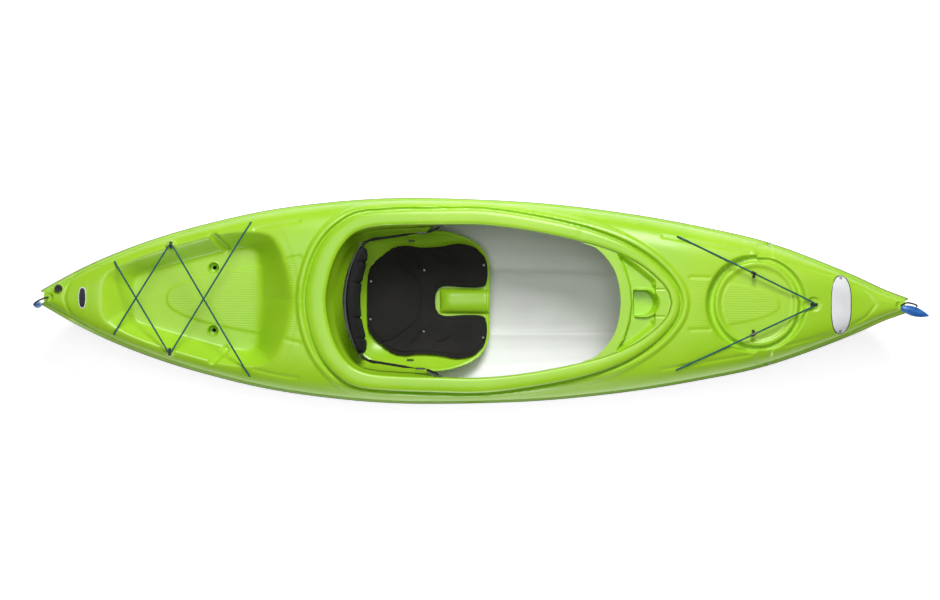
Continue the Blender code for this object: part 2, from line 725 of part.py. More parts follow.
def groove_tools(inset):
    """Half-round channels that run down the tankwell's sides to the floor."""
    made = []
    floor_height = TANKWELL_RIM_HEIGHT - TANKWELL_DEPTH
    for side, sign in SIDES:
        start = Vector((GROOVE_START[0], sign * GROOVE_START[1], TANKWELL_RIM_HEIGHT + 0.012))
        end = Vector((GROOVE_END[0], sign * GROOVE_END[1], floor_height + GROOVE_RADIUS))
        radius = GROOVE_RADIUS + inset
        made.append(tube(f"groove_{side}_{'outer' if inset else 'inner'}", [start, end], radius, sides=12))
    return made


def tankwell_core():
    """Stock under the tankwell that gives its floor and the lower walls their thickness."""
    reach = 2.6 * WALL
    floor_height = TANKWELL_RIM_HEIGHT - TANKWELL_DEPTH
    floor = closed_outline(TANKWELL_FLOOR, 20)
    rim = closed_outline(TANKWELL_RIM, 20)
    upper = grown(floor + 0.6 * (rim - floor), reach)
    low = floor_height - WELL_DEPTH - 2 * WALL
    return stacked("tankwell_core", [(grown(floor, reach), low), (grown(floor, reach), floor_height),
                                     (upper, floor_height + 0.6 * TANKWELL_DEPTH)])


def pocket_tools(name, x, y, radius, depth):
    """Flat-bottomed round pocket in the deck, its outer wall, and the height of its floor."""
    floor = deck_height(x, y) - depth
    top = floor + depth + radius
    inner = cylinder(f"{name}_inner", (x, y, (floor + top) / 2), radius, top - floor, segments=20)
    low = floor - WALL
    outer = cylinder(f"{name}_outer", (x, y, (low + top) / 2), radius + WALL, top - low, segments=20)
    return inner, outer, floor


def drill(name, x, y, z, radius, depth=0.06, segments=12):
    return cylinder(name, (x, y, z), radius, depth, segments=segments)


BOW_HOLE_X = HALF_LENGTH - POCKET_INSET
STERN_HOLE_X = POCKET_INSET - HALF_LENGTH
DRAIN_X = DRAIN_FROM_STERN - HALF_LENGTH
DRAIN_TOP = 0.0005 + max(deck_height(DRAIN_X + DRAIN_CAP_RADIUS * math.cos(a),
                                     DRAIN_Y + DRAIN_CAP_RADIUS * math.sin(a))
                         for a in np.linspace(0, 2 * math.pi, 16))
TANKWELL_FLOOR_HEIGHT = TANKWELL_RIM_HEIGHT - TANKWELL_DEPTH
FRONT_BUNGEE_Y = deck_breadth(FRONT_BUNGEE_X) - FRONT_BUNGEE_EDGE
REAR_BUNGEE_REAR = (REAR_BUNGEE_REAR_X, deck_breadth(REAR_BUNGEE_REAR_X) - REAR_BUNGEE_REAR_EDGE)
REAR_BUNGEE_FRONT = (REAR_BUNGEE_FRONT_X, deck_breadth(REAR_BUNGEE_FRONT_X) - REAR_BUNGEE_FRONT_EDGE)
STRAP_HEIGHT = BACKREST_OUTLINE[-1][0] - STRAP_BELOW_TOP
BUNGEE_ENDS = [(FRONT_BUNGEE_X, FRONT_BUNGEE_Y), (FRONT_BUNGEE_X, -FRONT_BUNGEE_Y),
               REAR_BUNGEE_REAR, (REAR_BUNGEE_REAR[0], -REAR_BUNGEE_REAR[1]),
               REAR_BUNGEE_FRONT, (REAR_BUNGEE_FRONT[0], -REAR_BUNGEE_FRONT[1])]


def make_deck():
    deck = add_object("deck_shell", deck_volume("deck_shell", 0), LIME)
    hollow = add_object("deck_hollow", deck_volume("deck_hollow", WALL))
    bores, walls, holes = well_tools(TANKWELL_FLOOR_HEIGHT)
    pockets = [pocket_tools("bow_pocket", BOW_HOLE_X, 0, POCKET_RADIUS, POCKET_DEPTH),
               pocket_tools("stern_pocket", STERN_HOLE_X, 0, POCKET_RADIUS, POCKET_DEPTH),
               pocket_tools("eye_pocket", FRONT_EYE_X, 0, EYE_POCKET_RADIUS, EYE_POCKET_DEPTH)]
    cut(hollow, tankwell_tool("tankwell_outer", WALL), *groove_tools(WALL), *walls,
        dish_tool("dish_outer", WALL))
    cut(hollow, *[outer for _, outer, _ in pockets])
    join(deck, tankwell_core())
    cut(deck, tankwell_tool("tankwell_inner", 0), *groove_tools(0), *bores, dish_tool("dish_inner", 0))
    cut(deck, *[inner for inner, _, _ in pockets])
    cut(deck, hollow)
    lip = closed_outline(LIP_OUTLINE, RING_POINTS)
    mouth = grown(lip, -RISER_SETBACK - WALL / 2)
    cut(deck, prism("cockpit_mouth", mouth, 0.0, 0.5))
    join(deck, coaming_ring())
    for side, sign in SIDES:
        join(deck, cylinder(f"eye_boss_{side}", (REAR_EYE_X, sign * REAR_EYE_Y, EYE_BOSS_HEIGHT - 0.012),
                            EYE_BOSS_RADIUS, 0.024))
    join(deck, cylinder("drain_boss", (DRAIN_X, DRAIN_Y, DRAIN_TOP - 0.007), DRAIN_BOSS_RADIUS, 0.014))
    cut(deck, *holes)
    cut(deck, drill("drain_bore", DRAIN_X, DRAIN_Y, DRAIN_TOP, DRAIN_BUSHING_RADIUS + GAP, 0.05, 16))
    for name, x in (("bow_handle_hole", BOW_HOLE_X), ("stern_handle_hole", STERN_HOLE_X)):
        cut(deck, drill(name, x, 0, pockets[0][2], HANDLE_HOLE_RADIUS, 0.03))
    for k, (x, y) in enumerate(BUNGEE_ENDS):
        radius = BUNGEE / 2 + BUNGEE_HOLE_CLEARANCE
        cut(deck, drill(f"bungee_hole_{k}", x, y, deck_height(x, y), radius, 0.03))
    return deck, [floor for _, _, floor in pockets]


# Console
def slab(name, outline, top, bottom, finish=None):
    """Plate whose faces follow the slope of the coaming's top, a set drop below it."""
    rings = [[(x, y, coaming_top(x) + rise) for x, y in outline] for rise in (bottom, top)]
    return add_object(name, loft(name, rings), finish)


def mirrored(half):
    half = np.array(half, float)
    inner = half[(np.abs(half[:, 1]) > 1e-9)]
    return np.vstack([half, inner[::-1] * np.array([1, -1])])


def make_console():
    mouth = grown(closed_outline(MOUTH_OUTLINE, RING_POINTS), -CONSOLE_CLEARANCE)
    rear = resample(CONSOLE_REAR_EDGE, 9)
    port = [p for p in mouth[:RING_POINTS] if p[0] > CONSOLE_REAR_EDGE[-1][0] + 0.015]
    outline = mirrored(np.vstack([rear, port]))
    top = -CONSOLE_DROP
    console = slab("cockpit_console", outline, top, top - CONSOLE_THICKNESS, LIME)
    tray = mirrored(TRAY_CORNERS)
    half_width = HOLDER_WIDTH / 2
    arc = [(HOLDER_FRONT - half_width + half_width * math.sin(a), half_width * math.cos(a))
           for a in np.linspace(0, math.pi / 2, 8)]
    holder = mirrored([(HOLDER_REAR, 0.0), (HOLDER_REAR, half_width)] + arc)
    join(console, slab("tray_stock", grown(tray, CONSOLE_THICKNESS), top - 0.001,
                       top - TRAY_DEPTH - CONSOLE_THICKNESS))
    join(console, slab("holder_stock", grown(holder, CONSOLE_THICKNESS), top - 0.0015,
                       top - HOLDER_DEPTH - CONSOLE_THICKNESS))
    cut(console, slab("tray_hollow", tray, 0.02, top - TRAY_DEPTH))
    cut(console, slab("holder_hollow", holder, 0.02, top - HOLDER_DEPTH))
    drain_x = HOLDER_FRONT - half_width / 2
    drain_z = coaming_top(drain_x) - HOLDER_DEPTH
    cut(console, drill("holder_drain", drain_x, 0, drain_z, HOLDER_DRAIN, 0.04, 8))
    return smooth_shade(console, 30)


# Seat
def seat_surface(x, y):
    rear = max(-0.33 - x, 0.0) / 0.12
    side = max(abs(y) - 0.13, 0.0) / 0.12
    thigh = max(x + 0.15, 0.0) / 0.20
    hump_share = max(1 - (abs(y) / HUMP_HALF_WIDTH) ** 4, 0.0) * min(max((x - HUMP_REAR) / 0.03, 0.0), 1.0)
    return SEAT_FLOOR + 0.055 * rear**2 + 0.085 * side**2 + 0.016 * thigh**2 + HUMP_HEIGHT * hump_share


def make_seat():
    outline = closed_outline(SEAT_OUTLINE, 21)
    run = np.linspace(HUMP_REAR, SEAT_OUTLINE[-1][0] - 0.003, 8)
    sides = [np.column_stack([run, np.full(8, y * HUMP_HALF_WIDTH)]) for y in (-1.03, -0.72, 0.72, 1.03)]
    for ahead in (0, 0.03):
        sides.append(np.array([(HUMP_REAR + ahead, y * HUMP_HALF_WIDTH) for y in (-0.36, 0.0, 0.36)]))
    seat = sheet_between("seat_pan", outline, SEAT_SPACING, lambda x, y: seat_surface(x, y) - SEAT_WALL,
                         seat_surface, LIME, creases=sides)
    for side, sign in SIDES:
        y = sign * SEAT_FOOT_Y
        half = SEAT_FOOT_WIDTH / 2
        join(seat, box(f"seat_foot_{side}", (SEAT_FOOT_REAR, y - half, WALL + GAP),
                       (SEAT_FOOT_FRONT, y + half, SEAT_FLOOR - SEAT_WALL / 2)))
        y = sign * HINGE_Y
        half = PEDESTAL_WIDTH / 2
        length = PEDESTAL_LENGTH / 2
        join(seat, box(f"hinge_pedestal_{side}", (HINGE_X - length, y - half, SEAT_FLOOR + 0.012),
                       (HINGE_X + length, y + half, PEDESTAL_TOP)))
    return seat


def backrest_rear(z, y):
    """Rear face of the backrest: curved round the sitter and leaning back."""
    low, high = BACKREST_OUTLINE[0][0], BACKREST_OUTLINE[-1][0]
    bow = BACKREST_BOW * (y / BACKREST_HALF_WIDTH) ** 2
    return BACKREST_X + bow - BACKREST_LEAN * (z - low) / (high - low)


HINGE_X = backrest_rear(HINGE_Z, HINGE_Y) + BACKREST_SHELL / 2


def upright(x, y, z):
    """Turn a sheet drawn flat, as height and side, so that it stands up and faces forward."""
    return z, y, x


def make_cushion(pan):
    outline = closed_outline(CUSHION_OUTLINE, 34)
    panel = resample(CUSHION_PANEL, 12)
    panel = np.vstack([panel, panel[-2::-1] * np.array([1, -1])])
    seat = surface(pan)

    def under(x, y):
        return height_on(seat, x, y, 0.3) + 5 * GAP

    def over(x, y):
        share = min(edge_distance(outline, x, y) / CUSHION_ROUND, 1.0)
        crown = CUSHION_EDGE + (CUSHION_THICKNESS - CUSHION_EDGE) * math.sqrt(1 - (1 - share) ** 2)
        near = np.min(np.hypot(panel[:, 0] - x, panel[:, 1] - y))
        return under(x, y) + crown - CUSHION_CHANNEL * max(1 - near / CUSHION_CHANNEL_WIDTH, 0.0)

    beside = [panel + shift for shift in (np.array([0.008, 0.0]), np.array([-0.008, 0.0]))]
    return sheet_between("seat_cushion", outline, CUSHION_SPACING, under, over, FOAM_BLACK,
                         creases=[panel, *beside])


def make_snaps(cushion):
    top = surface(cushion)
    for row, (x, y) in SNAP_PLACES.items():
        for side, sign in SIDES:
            rim = [(x + SNAP_RADIUS * math.cos(a), sign * y + SNAP_RADIUS * math.sin(a))
                   for a in np.linspace(0, 2 * math.pi, 12, endpoint=False)]
            z = max(height_on(top, *spot, 0.3) for spot in rim + [(x, sign * y)]) + GAP
            cylinder(f"cushion_snap_{row}_{side}", (x, sign * y, z + SNAP_HEIGHT / 2), SNAP_RADIUS,
                     SNAP_HEIGHT, STEEL, segments=10, top_radius=SNAP_RADIUS * 0.6)


# Backrest
def make_backrest():
    shell = sheet_between("backrest_shell", closed_outline(BACKREST_OUTLINE, 17), BACKREST_SPACING,
                          backrest_rear, lambda z, y: backrest_rear(z, y) + BACKREST_SHELL, BLACK, upright)
    outline = closed_outline(PAD_OUTLINE, 17)

    def pad_rear(z, y):
        return backrest_rear(z, y) + BACKREST_SHELL + BACKREST_PAD_GAP

    def pad_front(z, y):
        share = min(edge_distance(outline, z, y) / 0.035, 1.0)
        crown = (BACKREST_PAD - BACKREST_PAD_EDGE) * math.sqrt(1 - (1 - share) ** 2)
        return pad_rear(z, y) + BACKREST_PAD_EDGE + crown

    sheet_between("backrest_pad", outline, BACKREST_SPACING * 0.8, pad_rear, pad_front, FOAM_BLACK, upright)
    for side, sign in SIDES:
        y = sign * HINGE_Y
        half = KNUCKLE_WIDTH / 2
        join(shell, cylinder(f"knuckle_{side}", (HINGE_X, y, HINGE_Z), KNUCKLE_RADIUS, KNUCKLE_WIDTH,
                             axis=(0, 1, 0)),
             box(f"knuckle_web_{side}", (HINGE_X - 0.005, y - half + 0.001, HINGE_Z + 0.003),
                 (HINGE_X + 0.002, y + half - 0.001, BACKREST_OUTLINE[0][0] + 0.006)))
        cut(shell, cylinder(f"knuckle_bore_{side}", (HINGE_X, y, HINGE_Z), HINGE_PIN_RADIUS + HINGE_CLEARANCE,
                            2 * KNUCKLE_WIDTH, axis=(0, 1, 0)))
        ends = sorted((sign * (BACKREST_HALF_WIDTH - 0.005), sign * (BACKREST_HALF_WIDTH + STRAP_LUG)))
        rear = backrest_rear(STRAP_HEIGHT, BACKREST_HALF_WIDTH)
        half = WEBBING_WIDTH / 2
        join(shell, box(f"strap_lug_{side}", (rear - 0.002, ends[0], STRAP_HEIGHT - half),
                        (rear + BACKREST_SHELL - 0.001, ends[1], STRAP_HEIGHT + half)))
        make_hinge(side, y)
    return shell


def make_hinge(side, y):
    floor = PEDESTAL_TOP + GAP
    half = PEDESTAL_WIDTH / 2 - 0.001
    length = PEDESTAL_LENGTH / 2 - 0.002
    bracket = box(f"backrest_bracket_{side}", (HINGE_X - length, y - half, floor),
                  (HINGE_X + length, y + half, floor + BRACKET_THICKNESS), STEEL)
    for name, way in (("inner", -1), ("outer", 1)):
        near = y + way * (KNUCKLE_WIDTH / 2 + RUN_CLEARANCE)
        far = near + way * EAR_THICKNESS
        low, high = sorted((near, far))
        join(bracket, box(f"ear_{name}_{side}", (HINGE_X - 0.007, low, floor + 0.001),
                          (HINGE_X + 0.007, high, HINGE_Z + 0.007)))
    cut(bracket, cylinder(f"ear_bore_{side}", (HINGE_X, y, HINGE_Z), HINGE_PIN_RADIUS + HINGE_CLEARANCE,
                          3 * KNUCKLE_WIDTH, axis=(0, 1, 0)))
    reach = KNUCKLE_WIDTH / 2 + RUN_CLEARANCE + EAR_THICKNESS + GAP
    head = 0.002
    radius = HINGE_PIN_RADIUS
    profile = [(0, -reach - head), (radius + 0.002, -reach - head), (radius + 0.002, -reach),
               (radius, -reach), (radius, reach + 0.001), (0, reach + 0.001)]
    pin = turned(f"backrest_pin_{side}", profile, (0, 0, 0), STEEL, segments=14)
    pin.data.transform(Matrix.Translation((HINGE_X, y, HINGE_Z)) @ Matrix.Rotation(math.pi / 2, 4, "X"))


def ribbon(name, points, height, finish):
    """Webbing on edge along plan points."""
    path = np.array(points, float)
    ahead = np.gradient(path, axis=0)
    ahead /= np.linalg.norm(ahead, axis=1)[:, None]
    aside = np.column_stack([-ahead[:, 1], ahead[:, 0]]) * WEBBING_THICKNESS / 2
    half = WEBBING_WIDTH / 2
    rings = []
    for place, side in zip(path, aside):
        inner, outer = place - side, place + side
        rings.append([(*inner, height - half), (*outer, height - half), (*outer, height + half),
                      (*inner, height + half)])
    return add_object(name, loft(name, rings), finish)


def make_straps():
    mouth_y = smooth(MOUTH_OUTLINE[2:-2], ANCHOR_X)
    for side, sign in SIDES:
        flip = np.array([1, sign])
        start_x = backrest_rear(STRAP_HEIGHT, BACKREST_HALF_WIDTH) + BACKREST_SHELL / 2
        start = (start_x + 0.002, BACKREST_HALF_WIDTH + STRAP_LUG + GAP + WEBBING_THICKNESS)
        buckle = np.array(BUCKLE_PLACE)
        anchor_y = mouth_y - GAP * 2 - ANCHOR_SIZE[1]
        rear_end = buckle - np.array([BUCKLE_SIZE[0] / 2 + 2 * GAP, 0.001])
        ribbon(f"backrest_strap_{side}", [np.array(p) * flip for p in (start, STRAP_KNEE, rear_end)],
               STRAP_HEIGHT, WEBBING)
        low = buckle - np.array(BUCKLE_SIZE[:2]) / 2
        high = buckle + np.array(BUCKLE_SIZE[:2]) / 2
        ys = sorted((low[1] * sign, high[1] * sign))
        box(f"strap_buckle_{side}", (low[0], ys[0], STRAP_HEIGHT - BUCKLE_SIZE[2] / 2),
            (high[0], ys[1], STRAP_HEIGHT + BUCKLE_SIZE[2] / 2), BLACK, bevel=0.0015)
        front = [buckle + np.array([BUCKLE_SIZE[0] / 2 + 2 * GAP, 0.001]),
                 np.array([ANCHOR_X + ANCHOR_SIZE[0] / 2, anchor_y - WEBBING_THICKNESS])]
        ribbon(f"anchor_strap_{side}", [p * flip for p in front], STRAP_HEIGHT, WEBBING)
        ys = sorted((anchor_y * sign, (anchor_y + ANCHOR_SIZE[1]) * sign))
        x, z = ANCHOR_X + 0.01, STRAP_HEIGHT + 0.01
        box(f"strap_anchor_{side}", (x - ANCHOR_SIZE[0] / 2, ys[0], z - ANCHOR_SIZE[2] / 2),
            (x + ANCHOR_SIZE[0] / 2, ys[1], z + ANCHOR_SIZE[2] / 2), BLACK, bevel=0.001)


# Deck fittings
def taut_heights(tree, start, end, ends, supports=(), count=200):
    """Heights of a cord pulled tight over the deck between two plan points, as (share, height)."""
    radius = BUNGEE / 2
    run = np.array(end) - np.array(start)
    across = np.array([-run[1], run[0]]) / np.hypot(*run)
    marks = [(0.0, ends[0]), (1.0, ends[1])] + list(supports)
    margin = BUNGEE / np.hypot(*run)
    for share in np.linspace(margin, 1 - margin, count):
        touch = []
        for offset in (-0.8 * radius, 0.0, 0.8 * radius):
            spot = np.array(start) + share * run + offset * across
            touch.append(height_on(tree, *spot, 0.5) + math.sqrt(radius**2 - offset**2))
        marks.append((float(share), max(touch) + BUNGEE_LIFT))
    hull = []
    for mark in sorted(marks):
        while len(hull) > 1 and ((hull[-1][1] - hull[-2][1]) * (mark[0] - hull[-2][0])
                                 <= (mark[1] - hull[-2][1]) * (hull[-1][0] - hull[-2][0])):
            hull.pop()
        hull.append(mark)
    return hull


def leg(tree, start, end, ends, supports=()):
    """Points of one straight leg of a bungee, lying on the deck where the deck is proud."""
    kept = taut_heights(tree, start, end, ends, supports)
    k = 1
    while k < len(kept) - 1:
        (s0, h0), (s1, h1), (s2, h2) = kept[k - 1:k + 2]
        if h1 - (h0 + (h2 - h0) * (s1 - s0) / (s2 - s0)) < 0.0002:
            kept.pop(k)
        else:
            k += 1
    start, end = np.array(start), np.array(end)
    return [(*(start + share * (end - start)), height) for share, height in kept]


def entry(tree, x, y):
    """The end of a bungee: down through its hole in the deck to the knot beneath."""
    rim = [height_on(tree, x + 0.005 * math.cos(a), y + 0.005 * math.sin(a), 0.5)
           for a in np.linspace(0, 2 * math.pi, 9)]
    steep = math.hypot(1, (max(rim) - min(rim)) / 0.010)
    under = (max(rim) + min(rim)) / 2 - (2.3 * WALL + KNOT_RADIUS) * steep
    return [(x, y, under), (x, y, max(rim) + 0.0005)], max(rim) + BUNGEE / 2 + BUNGEE_LIFT


def crossing(first, second):
    """Plan point where two straight legs cross, as the share along each."""
    (a, b), (c, d) = (tuple(np.array(p, float) for p in pair) for pair in (first, second))
    grid = np.column_stack([b - a, c - d])
    return np.linalg.solve(grid, c - a)


def height_at(heights, share):
    shares, values = zip(*heights)
    return float(np.interp(share, shares, values))


def make_bungee(name, tree, first, apex, last, along, supports=((), ())):
    """V of shock cord: from one deck hole through an eye to another, with its knots."""
    half = 0.0055
    near = [apex[0] - along[0] * half, apex[1] - along[1] * half]
    far = [apex[0] + along[0] * half, apex[1] + along[1] * half]
    start, start_height = entry(tree, *first)
    end, end_height = entry(tree, *last)
    one = leg(tree, first, near, (start_height, apex[2]), supports[0])
    two = leg(tree, far, last, (apex[2], end_height), supports[1])
    cord = tube(name, eased(start + one + two + end[::-1], BUNGEE * 0.4), BUNGEE / 2, TEAL)
    for k, (x, y, z) in enumerate((start[0], end[0])):
        join(cord, ball(f"{name}_knot_{k}", (x, y, z), KNOT_RADIUS))
    return smooth_shade(cord)


def ball(name, centre, radius):
    bm = bmesh.new()
    bmesh.ops.create_icosphere(bm, subdivisions=1, radius=radius)
    bm.transform(Matrix.Translation(Vector(centre)))
    return add_object(name, mesh_from(name, bm))


def make_eye(name, x, y, floor, along):
    """Pad eye: a base plate with a wire bow, standing across the cord that runs through it."""
    across = Vector((-along[1], along[0], 0))
    middle = Vector((x, y, floor + GAP))
    size = Vector((abs(across.x) * EYE_LENGTH + abs(along[0]) * EYE_WIDTH,
                   abs(across.y) * EYE_LENGTH + abs(along[1]) * EYE_WIDTH, 0)) / 2
    eye = box(name, middle - size, middle + size + Vector((0, 0, EYE_BASE)), BLACK)
    reach = across * EYE_RING_RADIUS
    bow = [middle + reach + Vector((0, 0, EYE_BASE / 2))]
    for angle in np.linspace(0, math.pi, 7):
        bow.append(middle + reach * math.cos(angle)
                   + Vector((0, 0, EYE_BASE + 0.0015 + EYE_RING_RADIUS * math.sin(angle))))
    bow.append(middle - reach + Vector((0, 0, EYE_BASE / 2)))
    join(eye, tube(f"{name}_bow", bow, EYE_WIRE_RADIUS, sides=6))
    return middle.z + EYE_BASE + 0.0004 + BUNGEE / 2


def make_rigging(deck, front_floor):
    tree = surface(deck)
    front = make_eye("front_pad_eye", FRONT_EYE_X, 0, front_floor, (0, 1))
    make_bungee("front_bungee", tree, (FRONT_BUNGEE_X, -FRONT_BUNGEE_Y), (FRONT_EYE_X, 0, front),
                (FRONT_BUNGEE_X, FRONT_BUNGEE_Y), (0, 1))
    rear = {}
    for side, sign in SIDES:
        rear[sign] = make_eye(f"rear_pad_eye_{side}", REAR_EYE_X, sign * REAR_EYE_Y, EYE_BOSS_HEIGHT, (1, 0))
    (ax, ay), (fx, fy) = REAR_BUNGEE_REAR, REAR_BUNGEE_FRONT
    lower = [((ax, ay), (REAR_EYE_X - 0.0055, -REAR_EYE_Y)), ((REAR_EYE_X + 0.0055, -REAR_EYE_Y), (fx, fy))]
    upper = [((ax, -ay), (REAR_EYE_X - 0.0055, REAR_EYE_Y)), ((REAR_EYE_X + 0.0055, REAR_EYE_Y), (fx, -fy))]
    make_bungee("rear_bungee_a", tree, (ax, ay), (REAR_EYE_X, -REAR_EYE_Y, rear[-1]), (fx, fy), (1, 0))
    supports = []
    for k in range(2):
        low_share, high_share = crossing(lower[k], upper[k])
        ends = [entry(tree, ax, ay)[1], rear[-1]] if k == 0 else [rear[-1], entry(tree, fx, fy)[1]]
        below = height_at(taut_heights(tree, *lower[k], ends), low_share)
        supports.append([(float(high_share), below + BUNGEE + 2 * GAP)])
    make_bungee("rear_bungee_b", tree, (ax, -ay), (REAR_EYE_X, REAR_EYE_Y, rear[1]), (fx, -fy), (1, 0),
                supports)
    return tree, front


def make_hooks(tree, eye_height):
    """Paddle hooks: a sleeve that slides along each leg of the front bungee, with a ball on its side."""
    for side, sign in SIDES:
        start = np.array((FRONT_EYE_X, sign * 0.0055))
        end = np.array((FRONT_BUNGEE_X, sign * FRONT_BUNGEE_Y))
        heights = taut_heights(tree, start, end, (eye_height, entry(tree, *end)[1]))
        share = (FRONT_EYE_X - HOOK_X) / (FRONT_EYE_X - FRONT_BUNGEE_X)
        places = []
        for s in (share - 0.02, share, share + 0.02):
            places.append(Vector((*(start + s * (end - start)), height_at(heights, s))))
        way = (places[2] - places[0]).normalized()
        bore = BUNGEE / 2 + RUN_CLEARANCE
        hook = cylinder(f"paddle_hook_{side}", places[1], bore + HOOK_WALL, HOOK_LENGTH, BLACK, 12, way)
        inward = Vector((0, -sign, 0.2)).normalized()
        join(hook, ball(f"hook_ball_{side}", places[1] + inward * HOOK_REACH, HOOK_BALL_RADIUS))
        cut(hook, cylinder(f"hook_bore_{side}", places[1], bore, 2 * HOOK_LENGTH, None, 12, way))
        smooth_shade(hook)
        print(f"paddle_hook_{side} axis", [round(v, 5) for v in way], "at", [round(v, 5) for v in places[1]])


# Carrying handles
def make_grip(name, centre, way):
    """Spindle-shaped grip, flatter than it is wide."""
    profile = [(0.0, 0.16), (0.06, 0.34), (0.18, 0.66), (0.35, 0.93), (0.5, 1.0), (0.65, 0.93), (0.82, 0.66),
               (0.94, 0.34), (1.0, 0.16)]
    way = Vector(way).normalized()
    side = way.cross(Vector((0, 0, 1)) if abs(way.z) < 0.9 else Vector((0, 1, 0))).normalized()
    up = side.cross(way)
    rings = []
    for share, width in profile:
        place = Vector(centre) + way * GRIP_LENGTH * (share - 0.5)
        ring = []
        for k in range(10):
            angle = 2 * math.pi * k / 10
            ring.append(place + GRIP_DIAMETER / 2 * width * (side * math.cos(angle) * 1.15
                                                             + up * math.sin(angle) * 0.9))
        rings.append(ring)
    return smooth_shade(add_object(name, loft(name, rings), BLUE))


def make_handles(floors):
    radius = HANDLE_CORD / 2
    for end, hole_x, floor in (("bow", BOW_HOLE_X, floors[0]), ("stern", STERN_HOLE_X, floors[1])):
        stub = tube(f"{end}_handle_knot", [(hole_x, 0, floor - WALL - 0.010),
                                           (hole_x, 0, floor + HANDLE_STUB)], radius, BLACK)
        join(stub, ball(f"{end}_knot_ball", (hole_x, 0, floor - WALL - KNOT_RADIUS - GAP), KNOT_RADIUS))
    pivots = [floor + HANDLE_STUB + GAP + HANDLE_PIVOT_RADIUS for floor in floors]
    top = pivots[0]
    tip = deck_height(BOW_HOLE_X, 0)
    grip_height = tip + GRIP_DIAMETER * 0.45 + 0.0008
    way = Vector((math.cos(BOW_GRIP_YAW), math.sin(BOW_GRIP_YAW), 0))
    centre = Vector((BOW_HOLE_X - 0.0055, -0.008, grip_height)) + way * GRIP_LENGTH / 2
    make_grip("bow_handle_grip", centre, way)
    aside = Vector((-way.y, way.x, 0))
    seat = centre + aside * (GRIP_DIAMETER / 2 * 1.15 + GAP * 2)
    cord = tube("bow_handle_cord", [(BOW_HOLE_X, 0, top), (BOW_HOLE_X + 0.002, 0.0015, top + 0.0035),
                                    (BOW_HOLE_X + 0.009, 0.0065, top + 0.0055),
                                    (BOW_HOLE_X + 0.022, 0.009, top + 0.005),
                                    tuple(seat + aside * 0.007 - way * 0.010), tuple(seat + aside * 0.005),
                                    tuple(seat)], radius, BLACK)
    join(cord, ball("bow_pivot_ball", (BOW_HOLE_X, 0, top), HANDLE_PIVOT_RADIUS))
    top = pivots[1]
    x = -HALF_LENGTH - GRIP_DIAMETER / 2 * 1.15 - 0.0015
    grip_top = deck_height(STERN_HOLE_X, 0) - 0.022
    make_grip("stern_handle_grip", (x, -0.026, grip_top - GRIP_LENGTH / 2), (0, 0, -1))
    cord = tube("stern_handle_cord", [(STERN_HOLE_X, 0, top), (STERN_HOLE_X - 0.002, -0.0006, top + 0.003),
                                      (STERN_HOLE_X - 0.010, -0.003, top + 0.0052),
                                      (-HALF_LENGTH - 0.004, -0.012, top + 0.004),
                                      (x - 0.001, -0.024, top - 0.006), (x, -0.026, grip_top + 0.006),
                                      (x, -0.026, grip_top + GAP * 2)], radius, BLACK)
    join(cord, ball("stern_pivot_ball", (STERN_HOLE_X, 0, top), HANDLE_PIVOT_RADIUS))
    print("handle pivots", (round(BOW_HOLE_X, 4), 0, round(pivots[0], 5)),
          (round(STERN_HOLE_X, 4), 0, round(pivots[1], 5)))


# Drain
def make_drain():
    top = DRAIN_TOP + GAP
    outer = DRAIN_CAP_RADIUS
    bore = DRAIN_SHANK_RADIUS + 0.0004
    bushing = turned("drain_bushing", [(0, 0.0016), (outer, 0.0016), (outer, 0), (DRAIN_BUSHING_RADIUS, 0),
                                       (DRAIN_BUSHING_RADIUS, -DRAIN_BUSHING_DEPTH),
                                       (0, -DRAIN_BUSHING_DEPTH)], (DRAIN_X, DRAIN_Y, top), BLACK, 18)
    cut(bushing, cylinder("bushing_bore", (DRAIN_X, DRAIN_Y, top), bore, 0.08, segments=18))
    seal_low = top + 0.0016 + GAP
    seal = cylinder("drain_seal", (DRAIN_X, DRAIN_Y, seal_low + DRAIN_SEAL_THICKNESS / 2), outer - 0.0015,
                    DRAIN_SEAL_THICKNESS, RUBBER, 20)
    cut(seal, cylinder("seal_bore", (DRAIN_X, DRAIN_Y, seal_low), bore, 0.02, segments=20))
    cap = seal_low + DRAIN_SEAL_THICKNESS + GAP
    plug = turned("drain_plug", [(0, DRAIN_CAP_HEIGHT - 0.001), (0.004, DRAIN_CAP_HEIGHT - 0.001),
                                 (0.0055, DRAIN_CAP_HEIGHT), (outer - 0.0015, DRAIN_CAP_HEIGHT),
                                 (outer, DRAIN_CAP_HEIGHT - 0.0015), (outer, 0), (DRAIN_SHANK_RADIUS, 0),
                                 (DRAIN_SHANK_RADIUS, -DRAIN_BUSHING_DEPTH), (0, -DRAIN_BUSHING_DEPTH)],
                  (DRAIN_X, DRAIN_Y, cap), BLACK, 20)
    cut(plug, box("coin_slot", (DRAIN_X - 0.009, DRAIN_Y - 0.0012, cap + DRAIN_CAP_HEIGHT - 0.003),
                  (DRAIN_X + 0.009, DRAIN_Y + 0.0012, cap + DRAIN_CAP_HEIGHT + 0.01)))
    for piece in (bushing, seal, plug):
        smooth_shade(piece)
    print("drain axis", (round(DRAIN_X, 4), DRAIN_Y, round(cap, 4)))


# Foot braces
def wall_point(tree, x, z, sign):
    hit, normal, *_ = tree.ray_cast(Vector((x, 0, z)), Vector((0, sign, 0)))
    return hit, normal


